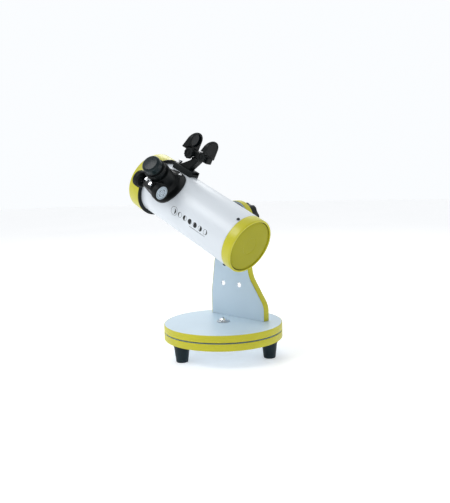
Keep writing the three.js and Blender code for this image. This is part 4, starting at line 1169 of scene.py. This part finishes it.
class TELESCOPE_OT_finder(PieceOperator, bpy.types.Operator):
    """The red-dot finder on its stalk and shoe, with its two adjuster wheels"""
    bl_idname = "telescope.finder"
    bl_label = "Finder"

    def execute(self, context):
        voxel = context.scene.reflector_sizes.mould_round / MM
        self.shoe()
        self.stalk(voxel)
        self.sight(voxel)
        self.glass()
        for node in ("finder_front_wheel", "finder_rear_wheel"):
            self.wheel(node)
        return {"FINISHED"}

    def dovetail(self, spread, z0, z1):
        half = DOVETAIL_HALF + spread
        return [(-half - 2, z0), (half + 2, z0), (half, z1), (-half, z1)]

    def shoe(self):
        low, high = span("finder_shoe", FINDER)
        floor = high.z - 4.6
        blank = soften(block(low.x, high.x, low.y, high.y, 40, high.z), 0.8, 3)
        channel = drawn_yz(prism(self.dovetail(FIT, floor, high.z + 0.1), low.x - 1, high.x - 7.5))
        spot = centre_of("finder_shoe_screw", FINDER)
        drill = moved(rod(1.9, 51, high.z + 1, 32), spot.x, spot.y)
        shoe = cut(blank, tube_rod(TUBE_SKIN + FIT), channel, drill)
        add("finder_shoe_moulding", shoe, FINDER, "tube", "black_plastic", ("finder_shoe",))
        low, high = span("finder_shoe_screw", FINDER)
        screw = moved(thumbscrew(1.6, low.z, high.z - 6, high.z, (high.x - low.x) / 2), spot.x, spot.y)
        add("finder_shoe_thumbscrew", screw, FINDER, BODY_OF["finder_shoe_screw"], "chrome",
            ("finder_shoe_screw",))

    def stalk(self, voxel):
        low, high = span("finder_stalk", FINDER)
        floor, top, rear, nose = low.z, high.z, low.x, high.x
        foot = floor + 4.3
        side = rounded([(rear + 13, foot - 0.5), (nose, foot - 0.5), (nose, foot + 1.5, 0.8),
                        (nose - 17, foot + 15, 6),
                        (nose - 21, foot + 19, 4), (nose - 21.5, top), (rear, top), (rear, top - 3, 1)],
                       True)
        post = drawn_xz(prism(side, -DOVETAIL_HALF, DOVETAIL_HALF))
        body = moulded(soften(post, 1.2, 3), voxel, 4)
        runner = drawn_yz(prism(self.dovetail(0, floor, foot), rear + 5, nose))
        parts = gather(body, soften(runner, 0.25, 2))
        add("finder_stalk_moulding", parts, FINDER, BODY_OF["finder_stalk"], "black_plastic",
            ("finder_stalk",), None, 40)

    def hood(self, start, axis_h, low_h, radius):
        """Round top, straight sides, cut off at a slant so that it is longer at its foot."""
        top = axis_h + radius
        outline = rounded([(-radius, low_h, 2.0), (radius, low_h, 2.0), (radius, axis_h)]) + arc(0, axis_h,
                radius, 0, 180)
        blank = drawn_yz(prism(outline, start, start + 22))
        slope = 0.38
        away = drawn_xz(prism([(start + 3, top + 1), (start + 3 + (top - low_h + 3) * slope, low_h - 2),
                               (start + 60, low_h - 2),
                               (start + 60, top + 1)], -30, 30))
        return cut(blank, away)

    def sight(self, voxel):
        low, high = span("finder_body", FINDER)
        radius = (high.y - low.y) / 2
        axis_h = high.z - radius
        fronts = centre_of("finder_lens", FINDER).x - 4.1
        rears = centre_of("finder_screen", FINDER).x - 0.35
        bar = soften(block(low.x, fronts + 10, -7, 7, low.z, low.z + 12), 1.6, 3)
        nose = self.hood(fronts, axis_h, low.z + 8, radius)
        tail = self.hood(rears, axis_h, low.z + 8, radius)
        rooms = []
        for node in ("finder_front_wheel", "finder_rear_wheel"):
            spot = centre_of(node, FINDER)
            reach = span(node, FINDER)[1].z - spot.z
            rooms.append(moved(along_y(rod(reach + 0.9, 7, 30, 64)), spot.x, 0, spot.z))
        body = moulded(cut(join(bar, nose, tail), *rooms), voxel, 4)
        drills = []
        for node in ("finder_front_wheel", "finder_rear_wheel"):
            spot = centre_of(node, FINDER)
            drills.append(moved(along_y(rod(2.5, -3.3, 30, 48)), spot.x, 0, spot.z))
        wide, tight = radius - 1.8, radius - 3.2
        drills.append(moved(along_x(rod(wide, fronts + 3, fronts + 40, 96)), 0, 0, axis_h))
        drills.append(moved(along_x(rod(tight, fronts - 1, fronts + 40, 96)), 0, 0, axis_h))
        drills.append(moved(along_x(rod(wide, rears - 1, rears + 1.2, 96)), 0, 0, axis_h))
        add("finder_sight_body", cut(body, *drills), FINDER, BODY_OF["finder_body"], "black_plastic",
            ("finder_body",), None, 40)

    def glass(self):
        low, high = span("finder_lens", FINDER)
        radius = (high.z - low.z) / 2
        middle = (low + high) / 2
        thick = high.x - low.x
        lens = solid_of([(0, 0), (radius, 0, 0.2), (radius, thick * 0.4, 0.1)] + bowl(radius, thick * 0.4,
                thick), 96)
        add("finder_lens_ground", moved(along_x(lens), low.x, middle.y, middle.z), FINDER,
            BODY_OF["finder_lens"], "lens", ("finder_lens",))
        low, high = span("finder_screen", FINDER)
        thick = high.x - low.x
        screen = solid_of([(0, 0.3), (radius - 2, 0.3), (radius - 1.6, 0, 0.1), (radius, 0, 0.2),
                           (radius, thick, 0.2), (0, thick)], 96)
        add("finder_screen_disc", moved(along_x(screen), low.x, middle.y, middle.z), FINDER,
            BODY_OF["finder_screen"], "black_plastic",
            ("finder_screen",))

    def wheel(self, node):
        low, high = span(node, FINDER)
        radius = (high.z - low.z) / 2
        spot = (low + high) / 2
        inner, outer = 7.3, high.y
        rim = common(prism(toothed(radius, 12, 1.2, 12), inner, outer), rod(radius, inner, outer, 128, 0.8))
        dish = rod(radius * 0.62, outer - 0.9, outer + 1, 64)
        axle = rod(2.2, low.y, outer - 1, 48, 0.2)
        hub = rod(radius * 0.26, outer - 1.2, outer - 0.2, 48, 0.3)
        wheel = gather(cut(rim, dish), axle, hub)
        add(f"{node}_grip", moved(along_y(wheel), spot.x, 0, spot.z), FINDER, BODY_OF[node], SLOT_OF[node],
            (node,))


class TELESCOPE_OT_stage(PieceOperator, bpy.types.Operator):
    """The floor, the soft lights and the camera"""
    bl_idname = "telescope.stage"
    bl_label = "Stage"

    def execute(self, context):
        self.floor()
        self.world(context)
        aim = Vector((0, 0, 0.19))
        self.softbox("key", (-0.5, -1.3, 1.75), aim, 1.0, 15)
        self.softbox("fill", (1.6, -0.9, 0.9), aim, 1.2, 3.5)
        self.softbox("rim", (-1.1, 1.1, 1.4), aim, 0.9, 6)
        self.camera(context)
        return {"FINISHED"}

    def floor(self):
        bm = new_mesh()
        bmesh.ops.create_circle(bm, cap_ends=True, segments=96, radius=6000)
        data = bpy.data.meshes.new("floor")
        bmesh.ops.transform(bm, verts=bm.verts, matrix=Matrix.Scale(MM, 4))
        bm.to_mesh(data)
        bm.free()
        floor = bpy.data.objects.new("floor", data)
        bpy.context.scene.collection.objects.link(floor)
        finish = Finish("studio_floor").set(Roughness=0.75, Emission_Strength=0.32)
        finish.paint(finish.ramp(finish.noise(3, 2), 0.3, 0.7, ((0.86, 0.87, 0.88), (0.9, 0.9, 0.91))))
        data.materials.append(finish.material)

    def world(self, context):
        """A pale room that is darker on the camera's side, so that dark parts read dark."""
        world = bpy.data.worlds.new("studio")
        world.use_nodes = True
        nodes, links = world.node_tree.nodes, world.node_tree.links
        direction = nodes.new("ShaderNodeTexCoord").outputs["Generated"]
        side = nodes.new("ShaderNodeVectorMath")
        side.operation = "DOT_PRODUCT"
        side.inputs[1].default_value = (-0.69, 0.72, 0.0)
        links.new(direction, side.inputs[0])
        level = nodes.new("ShaderNodeMapRange")
        level.inputs["From Min"].default_value = -0.5
        level.inputs["From Max"].default_value = 0.5
        level.inputs["To Min"].default_value = 0.38
        level.inputs["To Max"].default_value = 1.0
        links.new(side.outputs["Value"], level.inputs["Value"])
        background = nodes["Background"]
        background.inputs["Color"].default_value = (0.96, 0.98, 1.0, 1)
        links.new(level.outputs["Result"], background.inputs["Strength"])
        context.scene.world = world
        context.scene.view_settings.view_transform = "Standard"

    def softbox(self, name, place_m, aim, size, power):
        data = bpy.data.lights.new(name, "AREA")
        data.shape = "DISK"
        data.size = size
        data.energy = power
        lamp = bpy.data.objects.new(name, data)
        lamp.location = place_m
        lamp.rotation_euler = (aim - Vector(place_m)).to_track_quat("-Z", "Y").to_euler()
        bpy.context.scene.collection.objects.link(lamp)

    def camera(self, context):
        setup = context.scene.reflector_camera
        az, el = setup.azimuth, setup.elevation
        back = Vector((math.sin(az) * math.cos(el), -math.cos(az) * math.cos(el), math.sin(el)))
        right = Vector((0, 0, 1)).cross(back).normalized()
        up = back.cross(right)
        roll_right = right * math.cos(setup.roll) + up * math.sin(setup.roll)
        roll_up = up * math.cos(setup.roll) - right * math.sin(setup.roll)
        data = bpy.data.cameras.new("camera")
        data.lens = setup.focal
        data.sensor_width = 36
        data.shift_x = 0.0072
        data.shift_y = -0.0043
        data.clip_end = 50
        camera = bpy.data.objects.new("camera", data)
        turn = Matrix((roll_right, roll_up, back)).transposed().to_4x4()
        place_m = Vector((0, 0, setup.aim_height)) + back * setup.distance
        camera.matrix_world = Matrix.Translation(place_m) @ turn
        context.scene.collection.objects.link(camera)
        context.scene.camera = camera


class TELESCOPE_OT_materials(PieceOperator, bpy.types.Operator):
    """Makes the finishes and gives them to the CAD nodes"""
    bl_idname = "telescope.materials"
    bl_label = "Materials"

    def execute(self, context):
        make_materials(context.scene.reflector_colours)
        return {"FINISHED"}


class TELESCOPE_PT_sidebar(bpy.types.Panel):
    """Sizes, colours and the build steps in the sidebar"""
    bl_idname = "TELESCOPE_PT_sidebar"
    bl_label = "Reflector Telescope"
    bl_space_type = "VIEW_3D"
    bl_region_type = "UI"
    bl_category = "Telescope"

    def draw(self, context):
        scene = context.scene
        for group in (scene.reflector_sizes, scene.reflector_colours, scene.reflector_camera):
            box = self.layout.box()
            for name in group.__annotations__:
                box.prop(group, name)
        for step in STEPS:
            self.layout.operator(step.bl_idname)


STEPS = (
    TELESCOPE_OT_materials, TELESCOPE_OT_base, TELESCOPE_OT_arm, TELESCOPE_OT_bearing, TELESCOPE_OT_tube,
    TELESCOPE_OT_front, TELESCOPE_OT_rear, TELESCOPE_OT_focuser, TELESCOPE_OT_eyepiece, TELESCOPE_OT_finder,
    TELESCOPE_OT_stage,
)
GROUPS = (ReflectorSizes, ReflectorColours, CameraSetup)


def register():
    for cls in (*GROUPS, *STEPS, TELESCOPE_PT_sidebar):
        bpy.utils.register_class(cls)
    bpy.types.Scene.reflector_sizes = PointerProperty(type=ReflectorSizes)
    bpy.types.Scene.reflector_colours = PointerProperty(type=ReflectorColours)
    bpy.types.Scene.reflector_camera = PointerProperty(type=CameraSetup)


def unregister():
    del bpy.types.Scene.reflector_camera
    del bpy.types.Scene.reflector_colours
    del bpy.types.Scene.reflector_sizes
    for cls in reversed((*GROUPS, *STEPS, TELESCOPE_PT_sidebar)):
        bpy.utils.unregister_class(cls)


def main():
    register()
    for step in STEPS:
        section, name = step.bl_idname.split(".")
        getattr(getattr(bpy.ops, section), name)()


if __name__ == "__main__":
    main()
